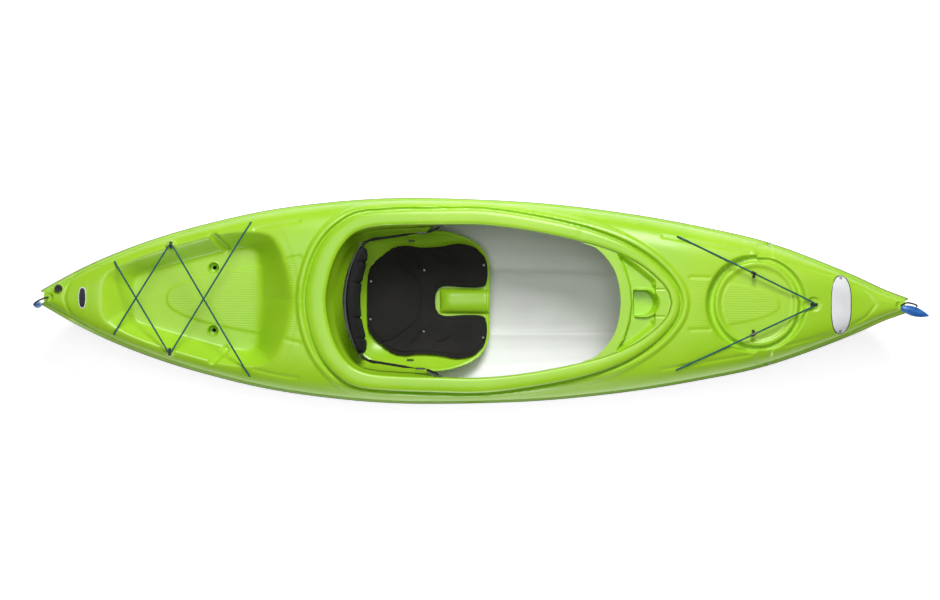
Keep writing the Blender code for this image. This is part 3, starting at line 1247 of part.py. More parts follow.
def make_foot_brace(tree, side, sign):
    """Rail on standoffs against the hull's side, and a pedal whose saddle slides along it."""
    reach = RAIL_LENGTH / 2 - 0.03
    ends = [wall_point(tree, RAIL_CENTRE_X + way * reach, RAIL_HEIGHT, sign) for way in (-1, 1)]
    along = (ends[1][0] - ends[0][0]).normalized()
    outboard = -(ends[0][1] + ends[1][1])
    outboard = (outboard - along * outboard.dot(along)).normalized()
    upward = along.cross(outboard) * -sign
    centre = (ends[0][0] + ends[1][0]) / 2 - outboard * (RAIL_STANDOFF + RAIL_DEPTH / 2)
    frame = Matrix((along, outboard, upward)).transposed().to_4x4()
    place = Matrix.Translation(centre) @ frame

    def block(name, low, high, finish=None, bevel=0.0):
        made = box(name, low, high, finish, bevel)
        made.data.transform(place)
        if place.determinant() < 0:
            made.data.flip_normals()
        return made

    rail = block(f"foot_rail_{side}", (-RAIL_LENGTH / 2, -RAIL_DEPTH / 2, -RAIL_WIDTH / 2),
                 (RAIL_LENGTH / 2, RAIL_DEPTH / 2, RAIL_WIDTH / 2), ALUMINIUM)
    cut(rail, block(f"rail_slot_{side}", (-RAIL_LENGTH / 2 + 0.045, -RAIL_DEPTH, -0.004),
                    (RAIL_LENGTH / 2 - 0.045, RAIL_DEPTH, 0.004)))
    for k, (hit, _) in enumerate(ends):
        start = place.inverted() @ hit
        foot = place @ Vector((start.x, start.y - 0.0012, 0))
        root = place @ Vector((start.x, 0, 0))
        join(rail, cylinder(f"standoff_{side}_{k}", (foot + root) / 2, 0.008, (foot - root).length, None, 10,
                            outboard))
        screw_hole = place @ Vector((start.x, start.y, 0))
        cut(rail, cylinder(f"standoff_bore_{side}_{k}", screw_hole, SCREW_RADIUS + GAP, 0.036, None, 10,
                           outboard))
        cut(hull_shell, cylinder(f"hull_bore_{side}_{k}", screw_hole, SCREW_RADIUS + 0.0004, 0.030, None, 10,
                                 outboard))
        make_rail_screw(f"rail_screw_{'rear' if k == 0 else 'front'}_{side}", screw_hole, outboard)
    reach = SADDLE_WALL + RUN_CLEARANCE
    inboard = -RAIL_DEPTH / 2 - reach
    outer = RAIL_DEPTH / 2 + reach
    half = SADDLE_LENGTH / 2
    deep, wide = RAIL_DEPTH / 2 + RUN_CLEARANCE, RAIL_WIDTH / 2 + RUN_CLEARANCE
    mouth = RAIL_WIDTH / 2 - 0.005
    pedal = block(f"foot_pedal_{side}", (-half, inboard, -RAIL_WIDTH / 2 - reach),
                  (half, outer, RAIL_WIDTH / 2 + reach), BLACK)
    cut(pedal, block(f"saddle_slot_{side}", (-2 * half, -deep, -wide), (2 * half, deep, wide)),
        block(f"saddle_mouth_{side}", (-2 * half, 0, -mouth), (2 * half, 2 * outer, mouth)))
    join(pedal, block(f"pedal_plate_{side}", (-half, inboard - PEDAL_WIDTH, -PEDAL_HEIGHT / 2),
                      (-half + PEDAL_THICKNESS, inboard + 0.002, PEDAL_HEIGHT / 2), bevel=0.002),
         block(f"pedal_rib_{side}", (-half + 0.001, inboard - PEDAL_WIDTH * 0.6, -0.003),
               (half * 0.8, inboard + 0.0015, 0.003)))
    for k in range(4):
        z = (k - 1.5) * PEDAL_HEIGHT / 5
        join(pedal, block(f"pedal_tread_{side}_{k}",
                          (-half - 0.0025, inboard - PEDAL_WIDTH + 0.008, z - 0.002),
                          (-half + 0.001, inboard - 0.008, z + 0.002)))
    print(f"foot_pedal_{side} axis", [round(v, 5) for v in along])


def make_rail_screw(name, at, outboard):
    hit, *_ = surface_outer.ray_cast(at + outboard * 0.05, -outboard)
    head = hit + outboard * (SCREW_HEAD_HEIGHT / 2 + 0.0008)
    tip = at - outboard * 0.012
    screw = cylinder(name, head, SCREW_HEAD_RADIUS, SCREW_HEAD_HEIGHT, STEEL, 12, outboard,
                     top_radius=SCREW_HEAD_RADIUS * 0.7)
    join(screw, cylinder(f"{name}_shank", (head + tip) / 2, SCREW_RADIUS, (head - tip).length, None, 10,
                         outboard))


# Flotation
def make_foam(name, ends, floor_tree, deck_tree):
    """Block that stands between the hull's floor and the deck and stiffens both."""
    half = FOAM_WIDTH / 2
    spots = [(x, y) for x in np.linspace(*ends, 45) for y in np.linspace(-half, half, 13)]
    low = max(height_on(floor_tree, x, y, 0.2) for x, y in spots) + GAP
    high = min(height_on(deck_tree, x, y, low + 0.02, down=False) for x, y in spots) - GAP
    box(name, (ends[0], -half, low), (ends[1], half, high), EPS)


hull_shell = make_hull()
bpy.context.view_layer.update()
surface_outer = surface(hull_shell)
deck_shell, pocket_floors = make_deck()
smooth_shade(hull_shell, 30)
smooth_shade(deck_shell, 30)
make_console()
seat_pan = make_seat()
bpy.context.view_layer.update()
seat_cushion = make_cushion(seat_pan)
make_snaps(seat_cushion)
make_backrest()
make_straps()
deck_tree, front_eye_height = make_rigging(deck_shell, pocket_floors[2])
make_hooks(deck_tree, front_eye_height)
make_handles(pocket_floors)
make_drain()
for side, sign in SIDES:
    make_foot_brace(surface_outer, side, sign)
make_foam("bow_foam_block", BOW_FOAM, surface_outer, deck_tree)
make_foam("stern_foam_block", STERN_FOAM, surface_outer, deck_tree)
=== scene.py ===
# %% [markdown]
# # A ten foot recreational kayak, seen from straight above
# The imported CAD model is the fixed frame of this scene: it says where every piece is and how it
# moves. This lesson dresses it. The big thermoformed skins are rebuilt here with far more points
# than a CAD solid can carry, because a soft plastic moulding is all long curves and small radii.

# %%
import json
import math

import bpy
import numpy as np
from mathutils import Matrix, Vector
from mathutils.bvhtree import BVHTree

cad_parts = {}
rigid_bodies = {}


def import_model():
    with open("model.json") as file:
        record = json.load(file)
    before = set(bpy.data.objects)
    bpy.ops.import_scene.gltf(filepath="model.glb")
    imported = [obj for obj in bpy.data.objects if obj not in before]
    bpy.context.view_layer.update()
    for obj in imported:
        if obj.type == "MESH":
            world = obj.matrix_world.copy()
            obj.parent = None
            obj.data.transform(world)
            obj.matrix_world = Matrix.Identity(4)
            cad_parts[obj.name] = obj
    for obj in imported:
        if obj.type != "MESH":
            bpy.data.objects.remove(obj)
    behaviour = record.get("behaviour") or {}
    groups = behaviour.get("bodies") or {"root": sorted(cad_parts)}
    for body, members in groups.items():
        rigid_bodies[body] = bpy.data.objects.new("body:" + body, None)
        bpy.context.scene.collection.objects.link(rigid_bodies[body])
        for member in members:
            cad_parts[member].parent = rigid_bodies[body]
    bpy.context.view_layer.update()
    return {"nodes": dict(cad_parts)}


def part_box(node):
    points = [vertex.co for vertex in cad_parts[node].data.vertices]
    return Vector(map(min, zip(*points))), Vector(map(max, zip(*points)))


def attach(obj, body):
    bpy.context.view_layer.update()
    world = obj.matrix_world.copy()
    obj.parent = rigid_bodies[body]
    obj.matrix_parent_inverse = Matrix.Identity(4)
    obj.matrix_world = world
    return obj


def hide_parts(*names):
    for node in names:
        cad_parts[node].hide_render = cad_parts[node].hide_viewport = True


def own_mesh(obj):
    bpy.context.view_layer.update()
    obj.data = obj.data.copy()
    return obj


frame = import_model()
for thing in list(bpy.context.scene.objects):
    thing.select_set(False)

# %% [markdown]
# ## The camera
# The picture was taken from straight above, from far enough that the sides of the boat hardly show.
# A 97 mm lens nine metres over the seam gives the same width of view, 3.33 m, and the same mild
# perspective. The boat lies half a degree off level in the picture, so the camera is rolled by that.

# %%
SEAM_LEVEL = 0.205
CAMERA_DISTANCE = 9.0
VIEW_WIDTH = 3.3295
VIEW_X, VIEW_Y, CAMERA_ROLL = -0.016, 0.0045, 0.0093
SENSOR_WIDTH = 36.0
bpy.ops.object.camera_add(location=(VIEW_X, VIEW_Y, SEAM_LEVEL + CAMERA_DISTANCE),
                          rotation=(0, 0, CAMERA_ROLL))
camera = bpy.context.object
camera.data.sensor_width = SENSOR_WIDTH
camera.data.lens = SENSOR_WIDTH * CAMERA_DISTANCE / VIEW_WIDTH
bpy.context.scene.camera = camera
print("lens", round(camera.data.lens, 1), "mm")

# %% [markdown]
# ## Light
# The product picture has soft light that comes mostly from the boat's port side, which is the top
# of the picture: the tankwell's far wall is dark and its near wall is bright. One large lamp gives
# that direction, a second hangs overhead, a low one on the starboard side lifts the slopes that face
# away, and a dim world fills the shadows. The world shows white to the camera only.

# %%
FILL_STRENGTH = 0.07
bpy.context.scene.view_settings.view_transform = "Standard"
world = bpy.data.worlds.new("studio")
bpy.context.scene.world = world
world.use_nodes = True
sky = world.node_tree
sky.nodes.clear()
fill = sky.nodes.new("ShaderNodeBackground")
fill.inputs["Color"].default_value = (1.0, 1.0, 1.0, 1.0)
fill.inputs["Strength"].default_value = FILL_STRENGTH
white = sky.nodes.new("ShaderNodeBackground")
white.inputs["Color"].default_value = (1.0, 1.0, 1.0, 1.0)
white.inputs["Strength"].default_value = 1.0
seen = sky.nodes.new("ShaderNodeLightPath")
pick = sky.nodes.new("ShaderNodeMixShader")
sky.links.new(seen.outputs["Is Camera Ray"], pick.inputs["Fac"])
sky.links.new(fill.outputs[0], pick.inputs[1])
sky.links.new(white.outputs[0], pick.inputs[2])
sky.links.new(pick.outputs[0], sky.nodes.new("ShaderNodeOutputWorld").inputs["Surface"])


def lamp(name, place, aim, size, power):
    """A square area lamp that looks at a point."""
    bpy.ops.object.light_add(type="AREA", location=place)
    made = bpy.context.object
    made.name = name
    made.data.size = size
    made.data.energy = power
    made.rotation_euler = (Vector(aim) - Vector(place)).to_track_quat("-Z", "Y").to_euler()
    return made


lamp("port_lamp", (0.5, 3.6, 4.2), (0, 0, 0.2), 2.2, 252)
lamp("top_lamp", (-0.3, 0.5, 5.0), (0, 0, 0.2), 3.0, 80)
lamp("starboard_lamp", (0.0, -4.5, 0.95), (0, 0, 0.28), 1.2, 62)

# %% [markdown]
# ## The floor
# A pale sheet under the boat. To the camera it is white, as in the picture, but light still falls
# on it, so a faint shadow stays round the hull.

# %%
FLOOR_SIZE, FLOOR_DROP = 40, 0.0005
bpy.ops.mesh.primitive_plane_add(size=FLOOR_SIZE, location=(0, 0, -FLOOR_DROP))
floor = bpy.context.object
floor.name = "studio_floor"

# %% [markdown]
# ## Writing materials as sums
# A material is a graph of nodes, and a graph is hard to read in a script. This small class wraps one
# output of a node. Adding or multiplying two of them adds the Math node that does it, so a mask or a
# groove can be written as the expression that it is.


# %%
class Wire:
    """One output of a node, to calculate with."""

    def __init__(self, tree, socket):
        self.tree, self.socket = tree, socket

    def math(self, operation, *others, flipped=False):
        values = [*others, self] if flipped else [self, *others]
        return add_node(self.tree, "ShaderNodeMath", {"operation": operation}, dict(enumerate(values)))

    def __add__(self, other):
        return self.math("ADD", other)

    def __sub__(self, other):
        return self.math("SUBTRACT", other)

    def __rsub__(self, other):
        return self.math("SUBTRACT", other, flipped=True)

    def __mul__(self, other):
        return self.math("MULTIPLY", other)

    __radd__ = __add__
    __rmul__ = __mul__

    def wave(self):
        return self.math("SINE")

    def most(self, other):
        return self.math("MAXIMUM", other)

    def between(self, low, high):
        """0 at or below low, 1 at or above high, and a smooth step between."""
        return add_node(self.tree, "ShaderNodeMapRange", {"interpolation_type": "SMOOTHSTEP"},
                        {"Value": self, "From Min": low, "From Max": high, "To Min": 0.0, "To Max": 1.0},
                        "Result")


def plug(value, slot):
    """Link a wire to a socket, or set the socket to a plain value."""
    if isinstance(value, Wire):
        value.tree.links.new(value.socket, slot)
    else:
        slot.default_value = value


def add_node(tree, kind, settings=None, inputs=None, output=0):
    """Any node: its type, its settings, then the values or wires of its sockets."""
    made = tree.nodes.new(kind)
    for key, value in (settings or {}).items():
        setattr(made, key, value)
    for key, value in (inputs or {}).items():
        plug(value, made.inputs[key])
    return Wire(tree, made.outputs[output])


class Recipe:
    """A material in the making: its Principled shader and the nodes that feed it."""

    MIX_FACTOR, MIX_A, MIX_B, MIX_RESULT = 0, 6, 7, 2

    def __init__(self, name, colour, roughness):
        self.made = bpy.data.materials.new(name)
        self.made.use_nodes = True
        self.tree = self.made.node_tree
        self.shader = self.tree.nodes["Principled BSDF"]
        self.shader.inputs["Base Color"].default_value = (*colour, 1.0)
        self.shader.inputs["Roughness"].default_value = roughness
        self.places = self.node("ShaderNodeTexCoord", output="Object")

    def node(self, kind, settings=None, inputs=None, output=0):
        return add_node(self.tree, kind, settings, inputs, output)

    def axis(self, name):
        return self.node("ShaderNodeSeparateXYZ", inputs={0: self.places}, output=name)

    def noise(self, scale, detail, stretch=None):
        return self.node("ShaderNodeTexNoise", inputs={"Vector": stretch or self.places, "Scale": scale,
                                                       "Detail": detail})

    def scaled(self, factors):
        return self.node("ShaderNodeVectorMath", {"operation": "MULTIPLY"}, {0: self.places, 1: factors})

    def field(self, name):
        """A number stored on the mesh's points."""
        return self.node("ShaderNodeAttribute", {"attribute_name": name}, output="Fac")

    def blend(self, share, first, second):
        """The first colour where share is 0, and the second where it is 1."""
        first, second = (value if isinstance(value, Wire) else (*value, 1.0) for value in (first, second))
        return self.node("ShaderNodeMix", {"data_type": "RGBA"},
                         {self.MIX_FACTOR: share, self.MIX_A: first, self.MIX_B: second}, self.MIX_RESULT)

    def finish(self, colour, roughness, height, **fixed):
        """Plug in what varies, with the height as a bump, and set what is even all over."""
        plug(colour, self.shader.inputs["Base Color"])
        plug(roughness, self.shader.inputs["Roughness"])
        plug(self.node("ShaderNodeBump", inputs={"Height": height, "Distance": 1.0, "Strength": 1.0},
                       output="Normal"), self.shader.inputs["Normal"])
        for name, value in fixed.items():
            self.shader.inputs[name.replace("_", " ")].default_value = value
        return self.made


def wear(piece, material):
    piece.data.materials.clear()
    piece.data.materials.append(material)


# %% [markdown]
# The floor is the first material: a plain white that the camera sees as pure white where no shadow
# falls, by adding a little light that only camera and mirror rays meet.

# %%
FLOOR_GLOW = 0.62
paper = Recipe("studio_paper", (0.86, 0.86, 0.86), 0.9)
glow = paper.node("ShaderNodeLightPath", output="Is Camera Ray")
glow = glow.most(paper.node("ShaderNodeLightPath", output="Is Glossy Ray"))
plug(glow * FLOOR_GLOW, paper.shader.inputs["Emission Color"])
paper.shader.inputs["Emission Strength"].default_value = 1.0
wear(floor, paper.made)

# %% [markdown]
# ## The lines of the boat
# A hull is drawn from a few curves: how wide it is along its length, how high its seam and its keel
# run, and how its sections change from full amidships to fine at the tips. These tables are the
# CAD's own, so the smooth skins made here lie on the CAD's surfaces.

# %%
LENGTH, BEAM, TIP_WIDTH = 3.05, 0.730, 0.050
HALF_LENGTH, HALF_BEAM = LENGTH / 2, BEAM / 2
FLANGE_WIDTH, FLANGE_THICKNESS = 0.009, 0.004
SEAM_HEIGHT, SHEER_RISE, DECK_RISE = 0.205, 0.060, 0.115
PLAN = [(-1.0, 0.0), (-0.988, 0.032), (-0.911, 0.226), (-0.819, 0.415), (-0.723, 0.574), (-0.591, 0.744),
        (-0.487, 0.850), (-0.359, 0.935), (-0.131, 1.0), (0.013, 0.988), (0.155, 0.956), (0.296, 0.891),
        (0.403, 0.824), (0.524, 0.726), (0.666, 0.585), (0.807, 0.362), (0.879, 0.229), (0.951, 0.082),
        (0.988, 0.020), (1.0, 0.0)]
KEEL = [(-1.0, 0.95), (-0.985, 0.74), (-0.95, 0.50), (-0.88, 0.25), (-0.76, 0.075), (-0.60, 0.0),
        (0.60, 0.0), (0.76, 0.075), (0.88, 0.25), (0.95, 0.50), (0.985, 0.74), (1.0, 0.95)]
FULL_SECTION = [(0.0, 0.0), (0.30, 0.0), (0.345, 0.030), (0.50, 0.052), (0.66, 0.115), (0.80, 0.225),
                (0.895, 0.400), (0.955, 0.620), (0.985, 0.830), (1.0, 1.0)]
FINE_SECTION = [(0.0, 0.0), (0.10, 0.060), (0.20, 0.130), (0.33, 0.230), (0.46, 0.345), (0.60, 0.475),
                (0.73, 0.610), (0.85, 0.750), (0.94, 0.880), (1.0, 1.0)]
CROWN = [(-1.0, 0.19), (-0.92, 0.30), (-0.80, 0.50), (-0.65, 0.68), (-0.43, 0.86), (0.0, 0.96),
         (0.45, 1.08), (0.62, 0.90), (0.80, 0.60), (0.92, 0.36), (1.0, 0.19)]


def smooth(table, x):
    """Smooth curve through (position, value) pairs, for a whole array of positions at once."""
    xs, ys = (np.array(column, float) for column in zip(*table))
    slopes = np.gradient(ys, xs)
    steps = np.diff(ys) / np.diff(xs)
    slopes[np.concatenate(([False], steps[:-1] * steps[1:] <= 0, [False]))] = 0.0
    i = np.clip(np.searchsorted(xs, x) - 1, 0, len(xs) - 2)
    span = xs[i + 1] - xs[i]
    t = np.clip((x - xs[i]) / span, 0.0, 1.0)
    ends = (2 * t**3 - 3 * t**2 + 1) * ys[i] + (3 * t**2 - 2 * t**3) * ys[i + 1]
    return ends + span * ((t**3 - 2 * t**2 + t) * slopes[i] + (t**3 - t**2) * slopes[i + 1])


def seam_height(share):
    return SEAM_HEIGHT + SHEER_RISE * np.abs(share) ** 2.2


def half_breadth(share, inset=0.0):
    return TIP_WIDTH / 2 + (HALF_BEAM - TIP_WIDTH / 2) * smooth(PLAN, share) - inset


def fullness(share):
    return 1 - smooth([(0.0, 0.0), (0.45, 0.05), (0.75, 0.45), (1.0, 1.0)], np.abs(share))


SKIN_END = HALF_LENGTH - 1.4 * FLANGE_WIDTH
DISH_X = 0.988


def plain_deck(x, y):
    """Height of the moulded deck before anything is sunk into it."""
    share = np.clip(x / SKIN_END, -1, 1)
    spread = np.minimum(np.abs(y) / half_breadth(share, FLANGE_WIDTH), 1.0)
    full = fullness(share)
    section = (1 - spread ** (2.2 + 2.8 * full)) ** (1 / (1.35 + 1.15 * full))
    return seam_height(share) + FLANGE_THICKNESS + DECK_RISE * smooth(CROWN, share) * section


print("deck at the dish", round(float(plain_deck(np.array(DISH_X), np.array(0.0))), 4))

# %% [markdown]
# ## Outlines and distances
# Most forms on the deck follow a closed line in plan: the tankwell's rim and floor, the coaming's
# lip. A smooth curve is drawn through a few points of one side and mirrored. The signed distance to
# such a line, less than nothing inside it, then shapes walls, rounded edges and bands.


# %%
def through(points, count):
    """Points at even distances along a smooth curve through the given ones."""
    given = np.array(points, float)
    padded = np.vstack([given[0], given, given[-1]])
    fine = []
    for i in range(len(given) - 1):
        p0, p1, p2, p3 = padded[i:i + 4]
        for t in np.linspace(0, 1, 12, endpoint=False):
            fine.append(0.5 * (2 * p1 + (p2 - p0) * t + (2 * p0 - 5 * p1 + 4 * p2 - p3) * t**2
                               + (3 * p1 - p0 - 3 * p2 + p3) * t**3))
    fine = np.array([*fine, given[-1]])
    run = np.concatenate(([0], np.cumsum(np.linalg.norm(np.diff(fine, axis=0), axis=1))))
    wanted = np.linspace(0, run[-1], count)
    return np.column_stack([np.interp(wanted, run, fine[:, k]) for k in range(given.shape[1])])


def both_sides(half, count):
    """A closed outline from its port half, whose ends lie on the centre line."""
    port = through(half, count)
    return np.vstack([port, port[-2:0:-1] * np.array([1, -1])])


def grown(outline, distance):
    ahead = np.roll(outline, -1, axis=0) - np.roll(outline, 1, axis=0)
    ahead /= np.linalg.norm(ahead, axis=1)[:, None]
    area = np.sum(outline[:, 0] * np.roll(outline[:, 1], -1) - np.roll(outline[:, 0], -1) * outline[:, 1])
    return outline + distance * np.column_stack([ahead[:, 1], -ahead[:, 0]]) * (1 if area > 0 else -1)


def nearest(line, x, y, closed=True):
    """Distance from each place to a line in plan, and the nearest point on it."""
    starts, ends = (line, np.roll(line, -1, axis=0)) if closed else (line[:-1], line[1:])
    best = np.full(x.shape, 9.0)
    at = np.zeros((*x.shape, 2))
    for (ax, ay), (bx, by) in zip(starts, ends):
        dx, dy = bx - ax, by - ay
        share = np.clip(((x - ax) * dx + (y - ay) * dy) / max(dx * dx + dy * dy, 1e-12), 0, 1)
        px, py = ax + share * dx, ay + share * dy
        gap = np.hypot(x - px, y - py)
        closer = gap < best
        best[closer] = gap[closer]
        at[closer] = np.stack([px, py], axis=-1)[closer]
    return best, at


def inside(line, x, y):
    crossings = np.zeros(x.shape, int)
    for (ax, ay), (bx, by) in zip(line, np.roll(line, -1, axis=0)):
        if ay != by:
            crossings += ((ay > y) != (by > y)) & (x < ax + (y - ay) * (bx - ax) / (by - ay))
    return crossings % 2 == 1


def signed(line, x, y):
    gap, _ = nearest(line, x, y)
    return np.where(inside(line, x, y), -gap, gap)


def soft_least(a, b, rounding):
    return 0.5 * (a + b - np.sqrt((a - b) ** 2 + rounding**2))


def soft_most(a, b, rounding):
    return 0.5 * (a + b + np.sqrt((a - b) ** 2 + rounding**2))


def step(value, low, high):
    """0 below low and 1 above high, with a smooth rise between; low may be the larger."""
    t = np.clip((value - low) / (high - low), 0, 1)
    return t * t * (3 - 2 * t)


LIP_OUTLINE = [(-0.594, 0.0), (-0.588, 0.060), (-0.564, 0.146), (-0.526, 0.215), (-0.472, 0.269),
               (-0.407, 0.303), (-0.290, 0.315), (-0.150, 0.319), (0.020, 0.320), (0.182, 0.300),
               (0.367, 0.262), (0.508, 0.214), (0.605, 0.158), (0.670, 0.100), (0.708, 0.045), (0.719, 0.0)]
MOUTH_OUTLINE = [(-0.520, 0.0), (-0.515, 0.050), (-0.498, 0.120), (-0.468, 0.185), (-0.425, 0.232),
                 (-0.365, 0.255), (-0.270, 0.263), (-0.140, 0.266), (0.020, 0.267), (0.180, 0.250),
                 (0.340, 0.219), (0.460, 0.187), (0.560, 0.143), (0.630, 0.092), (0.672, 0.045), (0.686, 0.0)]
TANKWELL_RIM = [(-1.310, 0.0), (-1.308, 0.060), (-1.290, 0.096), (-1.210, 0.136), (-1.117, 0.173),
                (-0.994, 0.208), (-0.900, 0.231), (-0.800, 0.235), (-0.735, 0.224), (-0.703, 0.186),
                (-0.676, 0.100), (-0.658, 0.0)]
TANKWELL_FLOOR = [(-1.210, 0.0), (-1.208, 0.055), (-1.188, 0.085), (-1.120, 0.106), (-1.050, 0.126),
                  (-0.900, 0.166), (-0.860, 0.176), (-0.800, 0.184), (-0.768, 0.172), (-0.760, 0.130),
                  (-0.756, 0.070), (-0.753, 0.0)]
lip = both_sides(LIP_OUTLINE, 90)
well_rim, well_floor = both_sides(TANKWELL_RIM, 50), both_sides(TANKWELL_FLOOR, 50)
print("lip", len(lip), "points, tankwell rim", len(well_rim), "points")

# %% [markdown]
# ## What is moulded into the deck
# The deck starts as one smooth crowned skin. A height for every place in plan is then worked out
# step by step: the tankwell with its sloping walls, the channels and eye seats on its rim, the round
# dish with its ring and moat on the foredeck, the plinth round the cockpit, the pockets at the tips
# and the fine creases that stiffen the skin. Soft minimum and maximum give every edge its radius.

# %%
TANKWELL_BOTTOM, TANKWELL_DEPTH = 0.218, 0.082
FRONT_EYE_X, TIP_HOLE_X = 1.188, 1.498
EYE_FLOOR, BOW_POCKET, STERN_POCKET = 0.31137, 0.28493, 0.28409
PLINTH_RISE, RISER_DROP = 0.0075, 0.013
CREASE_DEPTH, CREASE_WIDTH = 0.0030, 0.0055
FAR_ABOVE = 9.0
CREASES = [[(-0.772, 0.245), (-0.70, 0.262), (-0.618, 0.275)],
           [(0.657, 0.232), (0.80, 0.207), (0.963, 0.178)],
           [(1.093, 0.146), (1.17, 0.124), (1.255, 0.102)],
           [(1.333, 0.067), (1.375, 0.040), (1.406, 0.0)],
           [(-1.338, 0.118), (-1.400, 0.080), (-1.430, 0.035), (-1.439, 0.0)],
           [(-0.665, 0.139), (-0.640, 0.146), (-0.612, 0.151)],
           [(0.752, 0.092), (0.785, 0.091), (0.822, 0.090)],
           [(-0.750, 0.120), (-0.720, 0.128), (-0.690, 0.135)]]
DISH_PROFILE = [(0.0, 0.3062), (0.085, 0.3060), (0.120, 0.3062), (0.127, 0.3075), (0.134, 0.3130),
                (0.141, 0.3140), (0.146, 0.3128), (0.151, 0.2992), (0.157, 0.2978), (0.164, 0.2984),
                (0.1715, 0.3140), (0.176, 0.330), (0.20, 0.39), (3.0, 5.0)]


def dish_height(r):
    """Height of the foredeck dish by its radius: shallow floor, raised ring, moat and outer wall."""
    radii, heights = zip(*DISH_PROFILE)
    return np.interp(r, radii, heights)


def channel(x, y, start, end, radius):
    """Underside of a round bar that lies from start to end, far above where the bar isn't."""
    (x0, y0, z0), (x1, y1, z1) = start, end
    dx, dy = x1 - x0, y1 - y0
    share = ((x - x0) * dx + (y - y0) * dy) / (dx * dx + dy * dy)
    off = np.abs((x - x0) * dy - (y - y0) * dx) / math.hypot(dx, dy)
    axis = z0 + np.clip(share, -0.3, 1.0) * (z1 - z0)
    bottom = axis - np.sqrt(np.maximum(radius**2 - off**2, 0.0))
    return np.where((off < radius) & (share < 1.12), bottom, FAR_ABOVE)


def moulded(x, y):
    """Height of the finished deck at each place in plan."""
    h = plain_deck(x, y)
    # The plinth round the cockpit, and the drop to the coaming's riser inside it.
    around = signed(lip, x, y)
    h = h + PLINTH_RISE * step(around, 0.034, 0.024) - RISER_DROP * step(around, 0.013, 0.004)
    side = np.abs(y)
    for line in CREASES:
        gap, _ = nearest(through(line, 12), x, side, closed=False)
        h = h - CREASE_DEPTH * np.exp(-((gap / CREASE_WIDTH) ** 2))
    # The tankwell, its eye seats and the two channels of its cords.
    to_floor, to_rim = signed(well_floor, x, y), signed(well_rim, x, y)
    climb = to_floor / np.maximum(to_floor - to_rim, 0.012)
    bowl = TANKWELL_BOTTOM + TANKWELL_DEPTH * soft_most(climb, 0.0, 0.13)
    near = (to_rim < 0.05)
    h = np.where(near, soft_least(h, bowl, 0.010), h)
    boss = np.hypot(x + 1.067, side - 0.187)
    h = np.where(near, soft_most(h, 0.294 - 9.0 * np.maximum(boss - 0.0155, 0.0), 0.002), h)
    bar = channel(x, side, (-0.937, 0.236, 0.312), (-0.878, 0.176, 0.232), 0.0150)
    h = np.where(near, soft_least(h, bar, 0.004), h)
    # The dish, with a flat tab across its moat at each side.
    r = np.hypot(x - DISH_X, y)
    tab = step(side, 0.158, 0.163) * step(side, 0.212, 0.205) * step(np.abs(x - 1.016), 0.031, 0.026)
    tab_top = 0.312
    sunk = soft_least(h, dish_height(r), 0.0045)
    lifted = np.minimum(plain_deck(x, y) - 0.006, tab_top) - sunk
    h = np.where(r < 0.24, sunk + tab * lifted * (sunk < tab_top), h)
    # The eye's pocket and the neck that joins it to the dish.
    pocket = np.hypot(x - FRONT_EYE_X, y)
    h = soft_least(h, EYE_FLOOR + 3.0 * np.maximum(pocket - 0.0235, 0), 0.0012)
    neck = 0.3085 + 2.2 * np.maximum(side - 0.0090, 0) + 9.0 * np.maximum(np.abs(x - 1.160) - 0.018, 0)
    h = soft_least(h, neck, 0.0015)
    # The pockets of the handle cords at the tips.
    floor = np.where(x > 0, BOW_POCKET, STERN_POCKET)
    bite = np.hypot(np.abs(x) - TIP_HOLE_X, y)
    return np.where(bite < 0.05, soft_least(h, floor + 2.4 * np.maximum(bite - 0.0158, 0), 0.0012), h)


print("tankwell floor", round(float(moulded(np.array([-0.95]), np.array([0.0]))[0]), 4))

# %% [markdown]
# ## Shaping a grid by numbers
# Each skin starts as a flat grid primitive. Its points are then moved to the places that the boat's
# lines give, faces inside an opening are taken out, and a Solidify step gives the skin its wall.


# %%
def deselect():
    for thing in bpy.context.selected_objects:
        thing.select_set(False)


def grid(name, columns, rows):
    """A flat grid, and the places of its points from -1 to 1 both ways."""
    deselect()
    bpy.ops.mesh.primitive_grid_add(x_subdivisions=columns, y_subdivisions=rows, size=2)
    made = bpy.context.object
    made.name = made.data.name = name
    places = np.empty(3 * len(made.data.vertices))
    made.data.vertices.foreach_get("co", places)
    return made, places.reshape(-1, 3)


def move_points(piece, places):
    piece.data.vertices.foreach_set("co", np.ascontiguousarray(places, float).ravel())
    piece.data.update()


def points_of(piece):
    places = np.empty(3 * len(piece.data.vertices))
    piece.data.vertices.foreach_get("co", places)
    return places.reshape(-1, 3)


def centres_of(piece):
    middles = np.empty(3 * len(piece.data.polygons))
    piece.data.polygons.foreach_get("center", middles)
    return middles.reshape(-1, 3)


def choose(piece):
    """Select one piece alone and make it the active one, as the operators need."""
    deselect()
    bpy.context.view_layer.objects.active = piece
    piece.select_set(True)


def turn_outwards(piece):
    """Turn all faces of a closed piece outwards."""
    choose(piece)
    bpy.ops.object.mode_set(mode="EDIT")
    bpy.ops.mesh.select_all(action="SELECT")
    bpy.ops.mesh.normals_make_consistent(inside=False)
    bpy.ops.object.mode_set(mode="OBJECT")


def drop_faces(piece, which):
    """Take out the faces that a mask picks, and the points that only they used."""
    choose(piece)
    for kind in (piece.data.vertices, piece.data.edges, piece.data.polygons):
        kind.foreach_set("select", np.zeros(len(kind), bool))
    piece.data.polygons.foreach_set("select", which)
    bpy.ops.object.mode_set(mode="EDIT")
    bpy.ops.mesh.select_mode(type="FACE")
    bpy.ops.mesh.delete(type="FACE")
    bpy.ops.object.mode_set(mode="OBJECT")


def apply_step(piece, kind, **settings):
    """Add a modifier and apply it at once."""
    choose(piece)
    added = piece.modifiers.new(kind.lower(), kind)
    for key, value in settings.items():
        setattr(added, key, value)
    bpy.ops.object.modifier_apply(modifier=added.name)


